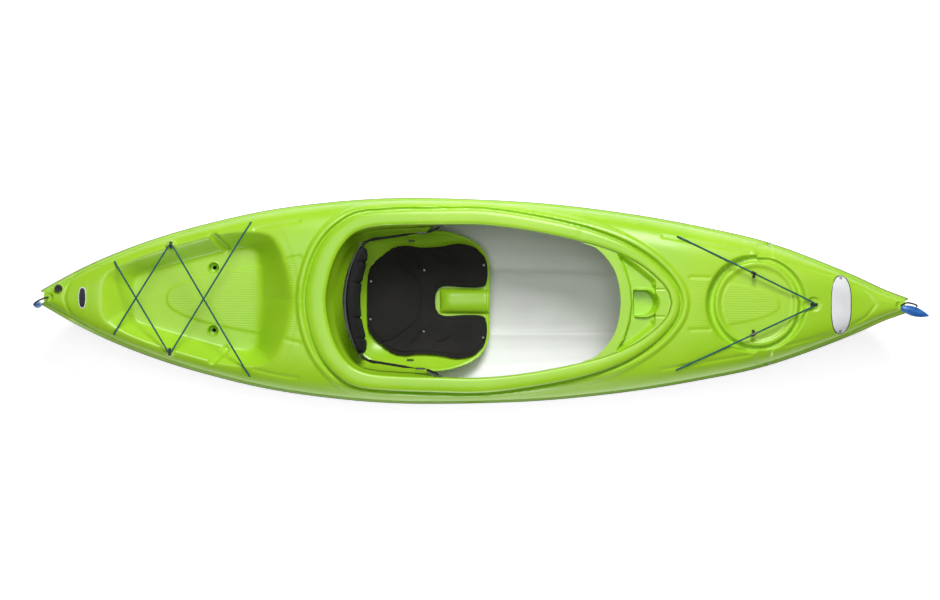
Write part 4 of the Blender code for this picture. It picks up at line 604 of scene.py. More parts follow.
def smooth_faces(piece, angle):
    """Shade smoothly over every edge that is flatter than the angle."""
    choose(piece)
    bpy.ops.object.shade_smooth_by_angle(angle=math.radians(angle))


def note(piece, name, values):
    """Store a number on each point, for the material to read."""
    layer = piece.data.attributes.new(name, "FLOAT", "POINT")
    layer.data.foreach_set("value", np.ascontiguousarray(values, float).ravel())


def mesh_piece(name, places, faces, material=None):
    """A new object from points and faces, its normals turned outwards."""
    mesh = bpy.data.meshes.new(name)
    mesh.from_pydata([tuple(p) for p in places], [], faces)
    made = bpy.data.objects.new(name, mesh)
    bpy.context.scene.collection.objects.link(made)
    turn_outwards(made)
    if material:
        wear(made, material)
    return made


def swept(name, rings, material=None, closed_run=True, caps=False):
    """Skin over rings of equal point counts."""
    count, width = len(rings), len(rings[0])
    faces = []
    for i in range(count if closed_run else count - 1):
        j = (i + 1) % count
        for k in range(width):
            m = (k + 1) % width
            faces.append((i * width + k, i * width + m, j * width + m, j * width + k))
    if caps:
        faces += [tuple(range(width)), tuple((count - 1) * width + k for k in range(width))]
    return mesh_piece(name, [p for ring in rings for p in ring], faces, material)


def belongs(piece, body, slot, *nodes):
    """Say which body carries a piece and which drawn parts it stands for; slot, what it is made of, is not
    used.
    """
    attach(piece, body)
    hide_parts(*nodes)


def triangles(piece):
    return sum(len(face.vertices) - 2 for face in piece.data.polygons)


# %% [markdown]
# ## The deck moulding
# The deck is made in two halves that meet over the seat, so that each can have cells of about four
# millimetres. Across the boat the cells crowd towards the edge, where the skin turns down to the
# seam. The last two rows are the flange that is welded to the hull.


# %%
DECK_CELLS_ALONG, DECK_CELLS_ACROSS = 400, 150
SKIN_THICKNESS, TURNED_DOWN = 0.004, 0.0016
WELL_CUP_X, WELL_CUP_Y, WELL_HOLE = -0.923, 0.111, 0.0195
DECK_SPLIT = -0.02


def deck_half(name, low, high):
    """One half of the deck, between two shares of its length."""
    rows = DECK_CELLS_ACROSS
    piece, flat = grid(name, DECK_CELLS_ALONG, rows)
    share = low + (high - low) * (flat[:, 0] + 1) / 2
    lane = np.rint((flat[:, 1] + 1) / 2 * rows) - rows / 2
    inner = rows / 2 - 2
    across = np.clip(lane / inner, -1, 1)
    spread = np.sin(across * math.pi / 2) * 0.55 + across * 0.45
    x = share * SKIN_END
    y = spread * half_breadth(share, FLANGE_WIDTH)
    line = grown(lip, -0.0155)
    gap, at = nearest(line, x, y)
    snap = (gap < 0.0026) & (np.abs(across) < 1)
    x[snap], y[snap] = at[snap][:, 0], at[snap][:, 1]
    z = moulded(x, y)
    flange = np.abs(lane) > inner + 0.5
    x[flange] = (share * HALF_LENGTH)[flange]
    y[flange] = (np.sign(lane) * half_breadth(share))[flange]
    z[flange] = (seam_height(share) + FLANGE_THICKNESS)[flange]
    z[np.abs(lane) > inner + 1.5] -= TURNED_DOWN
    move_points(piece, np.column_stack([x, y, z]))
    middles = centres_of(piece)
    hollow = inside(line, middles[:, 0], middles[:, 1])
    for well_y in (WELL_CUP_Y, -WELL_CUP_Y):
        hollow |= np.hypot(middles[:, 0] - WELL_CUP_X, middles[:, 1] - well_y) < WELL_HOLE
    drop_faces(piece, hollow)
    return piece


deck_rear = deck_half("deck_rear_skin", -1.0, DECK_SPLIT)
deck_front = deck_half("deck_front_skin", DECK_SPLIT, 1.0)
print("deck skins", len(deck_rear.data.polygons), "and", len(deck_front.data.polygons), "faces")

# %% [markdown]
# ## Lime plastic
# The deck is a sheet of coloured plastic drawn over a mould. It has an even colour with a slightly
# waxy gloss, a faint orange-peel from the mould, and paler, thinner-looking stretches. The stored
# number "ribbed" says where the mould has fine ribs; a bump draws them as lines along the boat. The
# number "seam" says where the skin ends at the hull; there a dull grey-brown line is painted, partly
# the dark weld and partly painted shade under the deck's edge.

# %%
LIME, LIME_DEEP, LIME_BRIGHT = (0.345, 0.650, 0.018), (0.318, 0.625, 0.012), (0.385, 0.690, 0.026)
LIME_THIN, LIME_RIB, SEAM_WELD_AND_SHADE = (0.46, 0.73, 0.065), (0.46, 0.72, 0.09), (0.20, 0.19, 0.13)
RIB_PITCH, RIB_BUMP = 0.0085, 0.00016


def lime(name, ribs=False):
    mix = Recipe(name, LIME, 0.36)
    wide = mix.noise(2.2, 3.0)
    fine = mix.noise(900.0, 1.0)
    pale = mix.noise(14.0, 4.0).between(0.45, 0.75)
    tone = mix.blend(wide.between(0.30, 0.72), LIME_DEEP, LIME_BRIGHT)
    tone = mix.blend(pale * 0.20, tone, LIME_THIN)
    height = fine * 0.00005 + mix.noise(160.0, 2.0) * 0.00006
    if ribs:
        across, along = mix.axis("Y"), mix.axis("X")
        rib = (across * (2 * math.pi / RIB_PITCH) + (along * 9.0).wave() * 0.35).wave()
        mask = mix.field("ribbed")
        height = height + rib * mask * RIB_BUMP
        tone = mix.blend(mask * rib.between(0.1, 1.0) * 0.14, tone, LIME_RIB)
        # painted shade: the last rows at the hull are darkened to a dull grey-brown line, partly the dark weld
        # and partly shade under the deck's edge
        tone = mix.blend(mix.field("seam").between(0.35, 1.0) * 0.8, tone, SEAM_WELD_AND_SHADE)
    rough = wide * 0.10 + fine * 0.05 + 0.27
    return mix.finish(tone, rough, height, Coat_Weight=0.12, Coat_Roughness=0.18)


def parabola(x, y, tip, open_x, half_width, power=0.5):
    """How far inside a parabola that opens towards open_x from its tip; less than 0 outside it."""
    share = np.clip((x - tip) / (open_x - tip), 0, 1)
    return np.where((x - tip) * (open_x - tip) < 0, -0.05, half_width * share**power - np.abs(y))


TANK_PANEL, DISH_PANEL = (-1.088, -0.755, 0.120, 0.42), (1.068, 0.860, 0.078, 0.42)


def rib_mask(x, y):
    """1 where the mould is ribbed: the tankwell's panel, the band to the cockpit, and the foredeck."""
    from_dish = np.hypot(x - DISH_X, y)
    tank = step(parabola(x, y, *TANK_PANEL), 0.002, 0.008) * step(x, -0.60, -0.61) * step(x, -0.764, -0.770)
    band = step(0.150 - 0.02 * step(x, -0.70, -0.62) - np.abs(y), 0.0, 0.006) * step(x, -0.664, -0.655)
    band = band * step(signed(lip, x, y), 0.034, 0.040) * step(x, -0.55, -0.56)
    fore = step(0.092 - np.abs(y), 0.0, 0.006) * step(x, 0.765, 0.775) * step(from_dish, 0.178, 0.186)
    fore = fore * step(x, 0.90, 0.89)
    dish = step(parabola(x, y, *DISH_PANEL), 0.002, 0.008) * step(from_dish, 0.118, 0.110)
    return np.clip(tank + band + fore + dish, 0, 1)


def panel_edges(x, y):
    """Small steps of the skin at the edges of the ribbed panels."""
    tank, dish = parabola(x, y, *TANK_PANEL), parabola(x, y, *DISH_PANEL)
    near_dish = np.hypot(x - DISH_X, y) < 0.120
    return (0.0022 * step(tank, -0.004, 0.004) * step(x, -0.740, -0.765)
            + 0.0018 * step(dish, -0.004, 0.004) * near_dish)


deck_lime = lime("lime_deck", ribs=True)
for piece in (deck_rear, deck_front):
    at = points_of(piece)
    note(piece, "ribbed", rib_mask(at[:, 0], at[:, 1]))
    margin = half_breadth(np.clip(at[:, 0] / HALF_LENGTH, -1, 1)) - np.abs(at[:, 1])
    note(piece, "seam", (margin < 0.0015).astype(float))
    at[:, 2] += panel_edges(at[:, 0], at[:, 1])
    move_points(piece, at)
    apply_step(piece, "SOLIDIFY", thickness=SKIN_THICKNESS, offset=-1.0)
    smooth_faces(piece, 60)
    wear(piece, deck_lime)
    belongs(piece, "boat", "lime_plastic", "deck_shell")
    print(piece.name, "has", triangles(piece), "triangles")

# %% [markdown]
# ## The coaming
# The rim of the cockpit is an upturned trough: a skirt inside, a broad crowned lip for hands and a
# spray skirt, and a riser that comes down to the deck. One section is carried round the opening;
# small flats where the rim's two mouldings meet break the lip ahead of the sitter's knees.

# %%
COAMING_REAR, COAMING_FRONT, TOP_REAR, TOP_FRONT = -0.594, 0.719, 0.326, 0.356
LIP_WALL, RISER_WALL, RISER_INSET = 0.0042, 0.004, 0.013
JOINT_X, JOINT_NOTCH = 0.368, 0.0022


def coaming_top(x):
    return TOP_REAR + (x - COAMING_REAR) / (COAMING_FRONT - COAMING_REAR) * (TOP_FRONT - TOP_REAR)


def coaming_rings(half_count=130):
    """The coaming's section at even steps round the opening; behind the seat its skirt goes deep."""
    inner, outer = both_sides(MOUTH_OUTLINE, half_count), both_sides(LIP_OUTLINE, half_count)
    wall = grown(outer, -RISER_INSET)
    feet = plain_deck(wall[:, 0], wall[:, 1]) - 0.006
    rings = []
    for a, b, r, foot in zip(inner, outer, wall, feet):
        middle_x = (a[0] + b[0]) / 2
        deep = float(step(a[0], -0.13, -0.24))
        skirt, draw = 0.050 + 0.095 * deep, -0.30 * deep
        draw_end = draw - 0.38 * deep
        top = coaming_top(middle_x)
        span = b - a
        unit = span / np.hypot(*span)
        joint = JOINT_NOTCH * math.exp(-((middle_x - JOINT_X) / 0.004) ** 2)
        crown = [(draw_end, -skirt), (draw, -skirt * 0.80), (draw * 0.5, -0.0450), (0.0, -0.0300),
                 (0.0, -0.0150), (0.012, -0.0085), (0.045, -0.0045), (0.10, -0.0022), (0.20, -0.0006),
                 (0.33, 0.0), (0.48, 0.0), (0.62, -0.0004), (0.74, -0.0014), (0.85, -0.0033),
                 (0.93, -0.0058), (0.98, -0.0088), (1.0, -0.0120), (0.995, -0.0155)]
        back = [(0.0, -0.0150), (0.0, -0.0300), (draw * 0.5, -0.0450), (draw, -skirt * 0.80),
                (draw_end, -skirt - 0.003)]
        section = [(a + share * span, rise - joint * (0.1 < share < 0.99)) for share, rise in crown]
        section += [(b - RISER_WALL * unit, -0.0158), (r + 0.001 * unit, -0.0140), (r, -0.0165),
                    (r, foot - top), (r - RISER_WALL * unit, foot - top),
                    (r - RISER_WALL * unit, -0.0120), (a + 0.5 * span, -0.0055)]
        section += [(a + share * span + LIP_WALL * unit, rise) for share, rise in back]
        rings.append([(p[0], p[1], top + rise) for p, rise in section])
    return rings


coaming = swept("coaming_rim", coaming_rings(), lime("lime_coaming"))
smooth_faces(coaming, 40)
belongs(coaming, "boat", "lime_plastic", "deck_shell")
print("coaming", len(coaming.data.polygons), "faces")

# %% [markdown]
# ## The hull
# The white half is drawn the same way, from the keel out to the seam. Its bottom carries shallow
# lengthwise strakes that stiffen it and keep the boat straight. Its inner face is what the camera
# sees through the cockpit.


# %%
HULL_CELLS_ALONG, HULL_CELLS_ACROSS = 420, 96
WELD_GAP, HULL_FLANGE_INSET, HULL_FLANGE_RISE = 0.0003, 0.0046, 0.0038
STRAKE_Y, STRAKE_HEIGHT = 0.118, 0.0035


def hull_skin():
    rows = HULL_CELLS_ACROSS
    piece, flat = grid("hull_skin", HULL_CELLS_ALONG, rows)
    share = flat[:, 0]
    lane = np.rint((flat[:, 1] + 1) / 2 * rows) - rows / 2
    inner = rows / 2 - 2
    out = np.clip(np.abs(lane) / inner, 0, 1)
    full = fullness(share)
    steps = np.linspace(0, 1, len(FULL_SECTION))
    wide = np.array([np.interp(out, steps, [p[k] for p in FULL_SECTION]) for k in (0, 1)])
    fine = np.array([np.interp(out, steps, [p[k] for p in FINE_SECTION]) for k in (0, 1)])
    a, b = full * wide + (1 - full) * fine
    keel = SEAM_HEIGHT * smooth(KEEL, share)
    under = seam_height(share) - WELD_GAP - FLANGE_THICKNESS
    x = share * SKIN_END
    y = np.sign(lane) * half_breadth(share, FLANGE_WIDTH) * a
    z = keel + (under - keel) * b
    strakes = np.exp(-(((np.abs(y) - STRAKE_Y) / 0.010) ** 2)) + 0.7 * np.exp(-((y / 0.006) ** 2))
    z += STRAKE_HEIGHT * strakes * step(np.abs(x), 1.05, 0.80)
    flange = np.abs(lane) > inner + 0.5
    x[flange] = (share * HALF_LENGTH)[flange]
    y[flange] = (np.sign(lane) * half_breadth(share, HULL_FLANGE_INSET))[flange]
    z[flange] = (under + HULL_FLANGE_RISE)[flange]
    z[np.abs(lane) > inner + 1.5] -= TURNED_DOWN
    move_points(piece, np.column_stack([x, y, z]))
    apply_step(piece, "SOLIDIFY", thickness=SKIN_THICKNESS, offset=1.0)
    smooth_faces(piece, 60)
    return piece


def hull_white():
    mix = Recipe("hull_white", (0.74, 0.75, 0.74), 0.42)
    wide = mix.noise(3.0, 3.0)
    tone = mix.blend(wide.between(0.3, 0.7), (0.70, 0.712, 0.705), (0.79, 0.80, 0.79))
    scuff = mix.noise(70.0, 4.0, mix.scaled((0.08, 1.0, 1.0))).between(0.62, 0.80)
    tone = mix.blend(scuff * 0.25, tone, (0.60, 0.61, 0.60))
    height = mix.noise(700.0, 1.0) * 0.00006 + mix.noise(90.0, 2.0) * 0.0001
    return mix.finish(tone, wide * 0.12 + 0.34, height)


hull = hull_skin()
wear(hull, hull_white())
belongs(hull, "boat", "white_plastic", "hull_shell")
print("hull", triangles(hull), "triangles")

# %% [markdown]
# ## Small turned pieces on the deck
# Two drain cups in the tankwell floor and the raised ring under the drain plug are turned: one
# section is carried round an upright axis. Each cup has a thin collar that lies on the skin and
# covers the edge of the hole that was left for it.


# %%
def turned(name, section, centre, material, segments=64):
    rings = []
    for angle in np.linspace(0, 2 * math.pi, segments, endpoint=False):
        rings.append([(centre[0] + r * math.cos(angle), centre[1] + r * math.sin(angle), centre[2] + z)
                      for r, z in section])
    made = swept(name, rings, material)
    smooth_faces(made, 35)
    return made


CUP = [(0.0230, 0.0002), (0.0222, 0.0008), (0.0192, 0.0011), (0.0180, 0.0004), (0.0175, -0.0015),
       (0.0172, -0.022), (0.0160, -0.0265), (0.0130, -0.0290), (0.0072, -0.0295), (0.0070, -0.0330),
       (0.0150, -0.0330), (0.0205, -0.0270), (0.0212, -0.0040), (0.0230, -0.0020)]
BOSS = [(0.0103, -0.0140), (0.0103, -0.0006), (0.0145, -0.0006), (0.0158, -0.0012),
        (0.0166, -0.0030), (0.0172, -0.0140)]
DRAIN_X, DRAIN_Y, SEAL_RECESS = -1.459, 0.032, 0.0022
SIDES = (("left", 1), ("right", -1))
plain_lime = lime("lime_small")
for side, sign in SIDES:
    cup = turned(f"well_cup_{side}", CUP, (WELL_CUP_X, sign * WELL_CUP_Y, TANKWELL_BOTTOM), plain_lime)
    belongs(cup, "boat", "lime_plastic", "deck_shell")
seat_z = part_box("drain_seal")[0].z - SEAL_RECESS
boss = turned("drain_boss", BOSS, (DRAIN_X, DRAIN_Y, seat_z), plain_lime)
belongs(boss, "boat", "lime_plastic", "deck_shell")
print("two cups and a drain boss at height", round(seat_z, 4))

# %% [markdown]
# ## The console
# Ahead of the sitter a moulded shelf closes the front of the opening. It holds a bottle in a D-shaped
# well and small things in a tray that curves round it. It is a fine grid again: the tray and the well
# sink with rounded shoulders, and two short grooves run forward from the well's corners.

# %%
CONSOLE_REAR_EDGE = [(0.510, 0.0), (0.503, 0.062), (0.480, 0.126), (0.426, 0.187), (0.375, 0.206)]
TRAY = [(0.548, 0.0), (0.541, 0.065), (0.522, 0.128), (0.500, 0.160), (0.497, 0.168), (0.505, 0.170),
        (0.560, 0.136), (0.620, 0.088), (0.630, 0.078), (0.631, 0.066), (0.630, 0.0)]


def mirrored(half):
    half = np.array(half, float)
    inner = half[np.abs(half[:, 1]) > 1e-9]
    return np.vstack([half, inner[::-1] * np.array([1, -1])])


def console_outline():
    inner = grown(both_sides(MOUTH_OUTLINE, 90), -0.0012)
    port = [p for p in inner[:90] if p[0] > 0.388]
    return mirrored(np.vstack([through(CONSOLE_REAR_EDGE, 30), port]))


def trimmed_grid(name, outline, columns, rows, reach=0.55):
    """A grid cut to an outline, its outermost points drawn onto the line."""
    piece, flat = grid(name, columns, rows)
    low, high = outline.min(axis=0) - 0.004, outline.max(axis=0) + 0.004
    x = low[0] + (high[0] - low[0]) * (flat[:, 0] + 1) / 2
    y = low[1] + (high[1] - low[1]) * (flat[:, 1] + 1) / 2
    gap, at = nearest(outline, x, y)
    cell = max((high[0] - low[0]) / columns, (high[1] - low[1]) / rows)
    snap = gap < reach * cell
    x[snap], y[snap] = at[snap][:, 0], at[snap][:, 1]
    move_points(piece, np.column_stack([x, y, np.zeros(len(x))]))
    middles = centres_of(piece)
    drop_faces(piece, ~inside(outline, middles[:, 0], middles[:, 1]))
    at = points_of(piece)
    return piece, at[:, 0].copy(), at[:, 1].copy()


HOLDER_REAR, HOLDER_FRONT, HOLDER_HALF, HOLDER_DEPTH = 0.553, 0.642, 0.046, 0.048
TRAY_LEDGE, TRAY_DEPTH, BEAD_HEIGHT = 0.004, 0.018, 0.011
GROOVE_Y, GROOVE_DEPTH = 0.0475, 0.0030


def holder_outline():
    """The bottle well in plan: flat at the rear, with its two front corners rounded right round."""
    turn = [(HOLDER_FRONT - HOLDER_HALF + HOLDER_HALF * math.sin(a), HOLDER_HALF * math.cos(a))
            for a in np.linspace(0, math.pi / 2, 12)]
    return mirrored([(HOLDER_REAR, 0.0), (HOLDER_REAR, HOLDER_HALF)] + turn)


def shelf_height(x, y, edge):
    """The shelf with its tray, the bead round the bottle well, the well, and two short grooves."""
    z = coaming_top(x) - 0.006
    in_tray = signed(mirrored(TRAY), x, y)
    outer_wall = nearest(through(TRAY[3:-1], 60), x, np.abs(y), closed=False)[0]
    z = z - (TRAY_LEDGE + TRAY_DEPTH * step(outer_wall, 0.000, 0.016)) * step(in_tray, 0.0015, -0.0035)
    holder = holder_outline()
    bead = signed(grown(holder, 0.0045), x, y)
    z = z + BEAD_HEIGHT * step(bead, 0.003, -0.001) * step(in_tray, 0.001, -0.004) * step(x, 0.556, 0.568)
    in_holder = signed(holder, x, y)
    slope = 1 + 3.2 * step(x, 0.585, 0.630)
    sunk = coaming_top(x) - 0.0075 - HOLDER_DEPTH * step(in_holder / slope, 0.001, -0.0045)
    z = np.where(in_holder < 0.004, np.minimum(z, sunk), z)
    groove = np.exp(-(((np.abs(y) - GROOVE_Y) / 0.0028) ** 2))
    z = z - GROOVE_DEPTH * groove * step(x, 0.628, 0.634) * step(x, 0.668, 0.660)
    rim = nearest(edge, x, y)[0]
    return z + 0.0016 * np.exp(-(((rim - 0.030) / 0.003) ** 2)) * step(x, 0.560, 0.500)


edge = console_outline()
console, x, y = trimmed_grid("console_shelf", edge, 190, 240)
move_points(console, np.column_stack([x, y, shelf_height(x, y, edge)]))
apply_step(console, "SOLIDIFY", thickness=SKIN_THICKNESS, offset=-1.0)
smooth_faces(console, 60)
wear(console, plain_lime)
belongs(console, "boat", "lime_plastic", "cockpit_console")
print("console", len(console.data.polygons), "faces")

# %% [markdown]
# ## The seat pan
# The seat is a moulded bowl with flanges at its sides and a hump between the sitter's thighs. The
# edge is rolled down, and two slots in the flanges carry the hip straps of a fuller fit-out. Under
# it stand two long feet and the pedestals that the backrest hinges on.

# %%
SEAT_OUTLINE = [(-0.452, 0.0), (-0.449, 0.070), (-0.437, 0.135), (-0.405, 0.190), (-0.340, 0.228),
                (-0.240, 0.243), (-0.138, 0.249), (-0.060, 0.236), (0.008, 0.205), (0.042, 0.165),
                (0.055, 0.120), (0.055, 0.060), (0.055, 0.0)]
SEAT_FLOOR, HINGE_X, HINGE_Y = 0.056, -0.41933, 0.105
SLOT_X, SLOT_Y, FOOT_Y = -0.229, 0.213, 0.075


def seat_surface(x, y):
    """Height of the bowl, raised at the back, the sides and the thighs, with the hump between them."""
    rear = np.maximum(-0.33 - x, 0.0) / 0.12
    side = np.maximum(np.abs(y) - 0.13, 0.0) / 0.12
    thigh = np.maximum(x + 0.15, 0.0) / 0.20
    run = np.clip((x + 0.124) / 0.042, 0.0, 1.0)
    share = np.sqrt(np.maximum(1 - (y / 0.042) ** 2, 0.0) * run * (2 - run))
    return SEAT_FLOOR + 0.055 * rear**2 + 0.085 * side**2 + 0.016 * thigh**2 + 0.022 * share


def block(low, high, bevel):
    """A cube primitive between two corners, its edges rounded."""
    deselect()
    middle = [(a + b) / 2 for a, b in zip(low, high)]
    bpy.ops.mesh.primitive_cube_add(size=1, location=middle)
    made = bpy.context.object
    made.scale = [b - a for a, b in zip(low, high)]
    bpy.ops.object.transform_apply(location=True, rotation=True, scale=True)
    apply_step(made, "BEVEL", width=bevel, segments=3)
    return made


def joined(name, pieces):
    deselect()
    for piece in pieces:
        piece.select_set(True)
    bpy.context.view_layer.objects.active = pieces[0]
    bpy.ops.object.join()
    made = bpy.context.object
    made.name = made.data.name = name
    return made


seat_edge = both_sides(SEAT_OUTLINE, 60)
seat, x, y = trimmed_grid("seat_moulding", seat_edge, 170, 170)
rim = nearest(seat_edge, x, y)[0]
z = seat_surface(x, y) - 0.0045 * step(rim, 0.007, 0.0) - 0.0012 * np.exp(-(((rim - 0.014) / 0.003) ** 2))
move_points(seat, np.column_stack([x, y, z]))
middles = centres_of(seat)
drop_faces(seat, (np.abs(middles[:, 0] - SLOT_X) < 0.0125) & (np.abs(np.abs(middles[:, 1]) - SLOT_Y) < 0.0032))
apply_step(seat, "SOLIDIFY", thickness=SKIN_THICKNESS, offset=-1.0)
parts = [seat]
for sign in (1, -1):
    foot_y, hinge_y = sign * FOOT_Y, sign * HINGE_Y
    parts.append(block((-0.330, foot_y - 0.020, 0.0049), (0.020, foot_y + 0.020, 0.054), 0.004))
    parts.append(block((HINGE_X - 0.015, hinge_y - 0.022, 0.068), (HINGE_X + 0.015, hinge_y + 0.022, 0.100),
                       0.003))
seat = joined("seat_moulding", parts)
smooth_faces(seat, 45)
wear(seat, lime("lime_seat"))
belongs(seat, "boat", "lime_plastic", "seat_pan")
print("seat", len(seat.data.polygons), "faces")

# %% [markdown]
# ## Padded fabric
# The cushion and the backrest are foam in a stretched cover. Each starts as a closed form, slightly
# thin, is remeshed evenly, and is blown up a little by a cloth simulation, so that it swells between
# its edges and picks up faint puckers. No point may go further than a few millimetres, and the side
# that rests on something stays flat. Sewn channels are pressed in afterwards.


# %%
def closed_pad(name, outline, cells, under, over):
    """A closed form between two height functions over an outline."""
    sheet, x, y = trimmed_grid(name, outline, cells, cells)
    count = len(x)
    faces = [tuple(f.vertices) for f in sheet.data.polygons]
    users = {}
    for face in faces:
        for a, b in zip(face, face[1:] + face[:1]):
            users[(a, b)] = True
    rim = [(a, b) for a, b in users if (b, a) not in users]
    faces += [tuple(k + count for k in reversed(face)) for face in faces]
    faces += [(b, a, a + count, b + count) for a, b in rim]
    top = np.column_stack([x, y, over(x, y)])
    bottom = np.column_stack([x, y, under(x, y)])
    bpy.data.objects.remove(sheet, do_unlink=True)
    return mesh_piece(name, np.vstack([top, bottom]), faces)


VOXEL, SWELL_CAP, PRESSURE, CLOTH_STEPS = 0.0050, 0.0045, 4.0, 20


def swell(piece):
    """Even out the mesh, then blow it up as cloth, each point by no more than the cap."""
    choose(piece)
    piece.data.remesh_voxel_size = VOXEL
    bpy.ops.object.voxel_remesh()
    start = points_of(piece)
    cloth = piece.modifiers.new("cover", "CLOTH")
    cloth.settings.quality = 6
    cloth.settings.mass = 0.25
    cloth.settings.use_pressure = True
    cloth.settings.uniform_pressure_force = PRESSURE
    cloth.settings.effector_weights.gravity = 0.0
    cloth.collision_settings.use_collision = False
    scene = bpy.context.scene
    for moment in range(1, CLOTH_STEPS + 1):
        scene.frame_set(moment)
    blown = piece.evaluated_get(bpy.context.evaluated_depsgraph_get())
    ended = np.empty(3 * len(blown.data.vertices))
    blown.data.vertices.foreach_get("co", ended)
    ended = ended.reshape(-1, 3)
    piece.modifiers.remove(cloth)
    scene.frame_set(1)
    moved = ended - start
    far = np.linalg.norm(moved, axis=1)
    moved *= (np.minimum(far, SWELL_CAP) / np.maximum(far, 1e-9))[:, None]
    move_points(piece, start + moved)
    print(piece.name, "swelled by up to", round(float(min(far.max(), SWELL_CAP)) * 1000, 1), "mm")


CUSHION_OUTLINE = [(-0.393, 0.0), (-0.391, 0.080), (-0.380, 0.122), (-0.345, 0.160), (-0.300, 0.192),
                   (-0.250, 0.203), (-0.190, 0.198), (-0.120, 0.203), (-0.060, 0.212), (0.000, 0.200),
                   (0.038, 0.165), (0.051, 0.118), (0.047, 0.070), (0.028, 0.052), (-0.030, 0.049),
                   (-0.102, 0.051), (-0.129, 0.034), (-0.134, 0.0)]
PANEL = [(-0.197, 0.0), (-0.199, 0.045), (-0.212, 0.080), (-0.248, 0.110), (-0.290, 0.140), (-0.330, 0.152)]
GROOVES = [[(-0.240, 0.170), (-0.222, 0.150), (-0.206, 0.138), (-0.195, 0.115)],
           [(-0.147, 0.172), (-0.130, 0.150), (-0.108, 0.146), (-0.092, 0.132)]]
cushion_edge = both_sides(CUSHION_OUTLINE, 80)


def cushion_under(x, y):
    return seat_surface(x, y) + 0.0012


def cushion_over(x, y):
    share = np.minimum(nearest(cushion_edge, x, y)[0] / 0.026, 1.0)
    return cushion_under(x, y) + 0.0065 + 0.0130 * np.sqrt(1 - (1 - share) ** 2)


cushion = closed_pad("seat_cushion_cover", grown(cushion_edge, -0.003), 90, cushion_under, cushion_over)
swell(cushion)
apply_step(cushion, "SUBSURF", levels=1, render_levels=1)
at = points_of(cushion)
floor_at = seat_surface(at[:, 0], at[:, 1]) + 0.0010
at[:, 2] = np.maximum(at[:, 2], floor_at)
upper = step(at[:, 2] - floor_at, 0.006, 0.012)
for line in (PANEL, *GROOVES):
    gap, _ = nearest(through(line, 24), at[:, 0], np.abs(at[:, 1]), closed=False)
    at[:, 2] -= 0.0052 * np.exp(-((gap / 0.0048) ** 2)) * upper
gap, _ = nearest(cushion_edge, at[:, 0], at[:, 1])
at[:, 2] -= 0.0022 * np.exp(-(((gap - 0.016) / 0.0035) ** 2)) * upper
for row in ("rear", "middle", "front"):
    for side in ("left", "right"):
        low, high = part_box(f"cushion_snap_{row}_{side}")
        r = np.hypot(at[:, 0] - (low.x + high.x) / 2, at[:, 1] - (low.y + high.y) / 2)
        near = r < 0.020
        at[near, 2] = np.minimum(at[near, 2], low.z - 0.0002 + 9.0 * np.maximum(r[near] - 0.006, 0) ** 1.6)
move_points(cushion, at)
smooth_faces(cushion, 75)


WEAVE_PITCH, WEAVE_BUMP = 0.0016, 0.00016


def fabric(name, colour, rough, sheen):
    """Fine plain weave over an even dark cloth, with a little lint and worn sheen."""
    mix = Recipe(name, colour, rough)
    turn = 2 * math.pi / WEAVE_PITCH
    x, y, z = mix.axis("X"), mix.axis("Y"), mix.axis("Z")
    warp = (x * turn + z * turn * 0.5).wave()
    weft = (y * turn + z * turn * 0.5).wave()
    weave = warp * weft
    cloud = mix.noise(9.0, 4.0)
    lint = mix.noise(240.0, 3.0)
    lighter = tuple(2.3 * c + 0.004 for c in colour)
    tone = mix.blend(cloud.between(0.35, 0.75) * 0.55, colour, lighter)
    tone = mix.blend(weave.between(-0.2, 1.0) * 0.30, tone, tuple(1.9 * c for c in colour))
    tone = mix.blend(lint.between(0.62, 0.80) * 0.12, tone, (0.10, 0.09, 0.085))
    height = weave * WEAVE_BUMP + lint * 0.00012 + cloud * 0.0004
    return mix.finish(tone, cloud * 0.10 + (rough - 0.06), height, Sheen_Weight=sheen, Sheen_Roughness=0.45)


wear(cushion, fabric("cushion_cloth", (0.0068, 0.0057, 0.0052), rough=0.90, sheen=0.06))
belongs(cushion, "boat", "cushion_foam", "seat_cushion")
print("cushion", len(cushion.data.polygons), "faces")

# %% [markdown]
# ## The backrest pad
# The pad is drawn lying down, as height and side, and is then stood up against the curved plate
# behind it. Two upright channels at each side let it fold round the sitter's back.

# %%
PAD_CHANNELS, CHANNEL_DEPTH = (0.062, 0.135), 0.0055
PAD_OUTLINE =[(0.142, 0.0), (0.142, 0.105), (0.160, 0.158), (0.200, 0.181), (0.250, 0.188),
               (0.292, 0.183), (0.308, 0.158), (0.312, 0.095), (0.312, 0.0)]
pad_edge = both_sides(PAD_OUTLINE, 60)


def plate_front(z, y):
    """Front face of the backrest's plate, where the pad rests."""
    return -0.437 + 0.050 * (y / 0.195) ** 2 - 0.018 * (z - 0.134) / 0.184 + 0.004


def pad_over(z, y):
    share = np.minimum(nearest(pad_edge, z, y)[0] / 0.032, 1.0)
    return plate_front(z, y) + 0.0014 + 0.009 + 0.017 * np.sqrt(1 - (1 - share) ** 2)


def pad_under(z, y):
    return plate_front(z, y) + 0.0014


pad = closed_pad("backrest_cover", grown(pad_edge, -0.002), 64, pad_under, pad_over)
at = points_of(pad)
move_points(pad, at[:, [2, 1, 0]])
turn_outwards(pad)
swell(pad)
apply_step(pad, "SUBSURF", levels=1, render_levels=1)
at = points_of(pad)
rear = plate_front(at[:, 2], at[:, 1]) + 0.0010
at[:, 0] = np.maximum(at[:, 0], rear)
front = step(at[:, 0] - rear, 0.008, 0.016)
for place in PAD_CHANNELS:
    at[:, 0] -= CHANNEL_DEPTH * np.exp(-(((np.abs(at[:, 1]) - place) / 0.0050) ** 2)) * front
move_points(pad, at)
smooth_faces(pad, 75)
wear(pad, fabric("backrest_cloth", (0.0042, 0.0042, 0.0044), rough=0.92, sheen=0.0))
belongs(pad, "backrest", "cushion_foam", "backrest_pad")
print("backrest pad", len(pad.data.polygons), "faces")
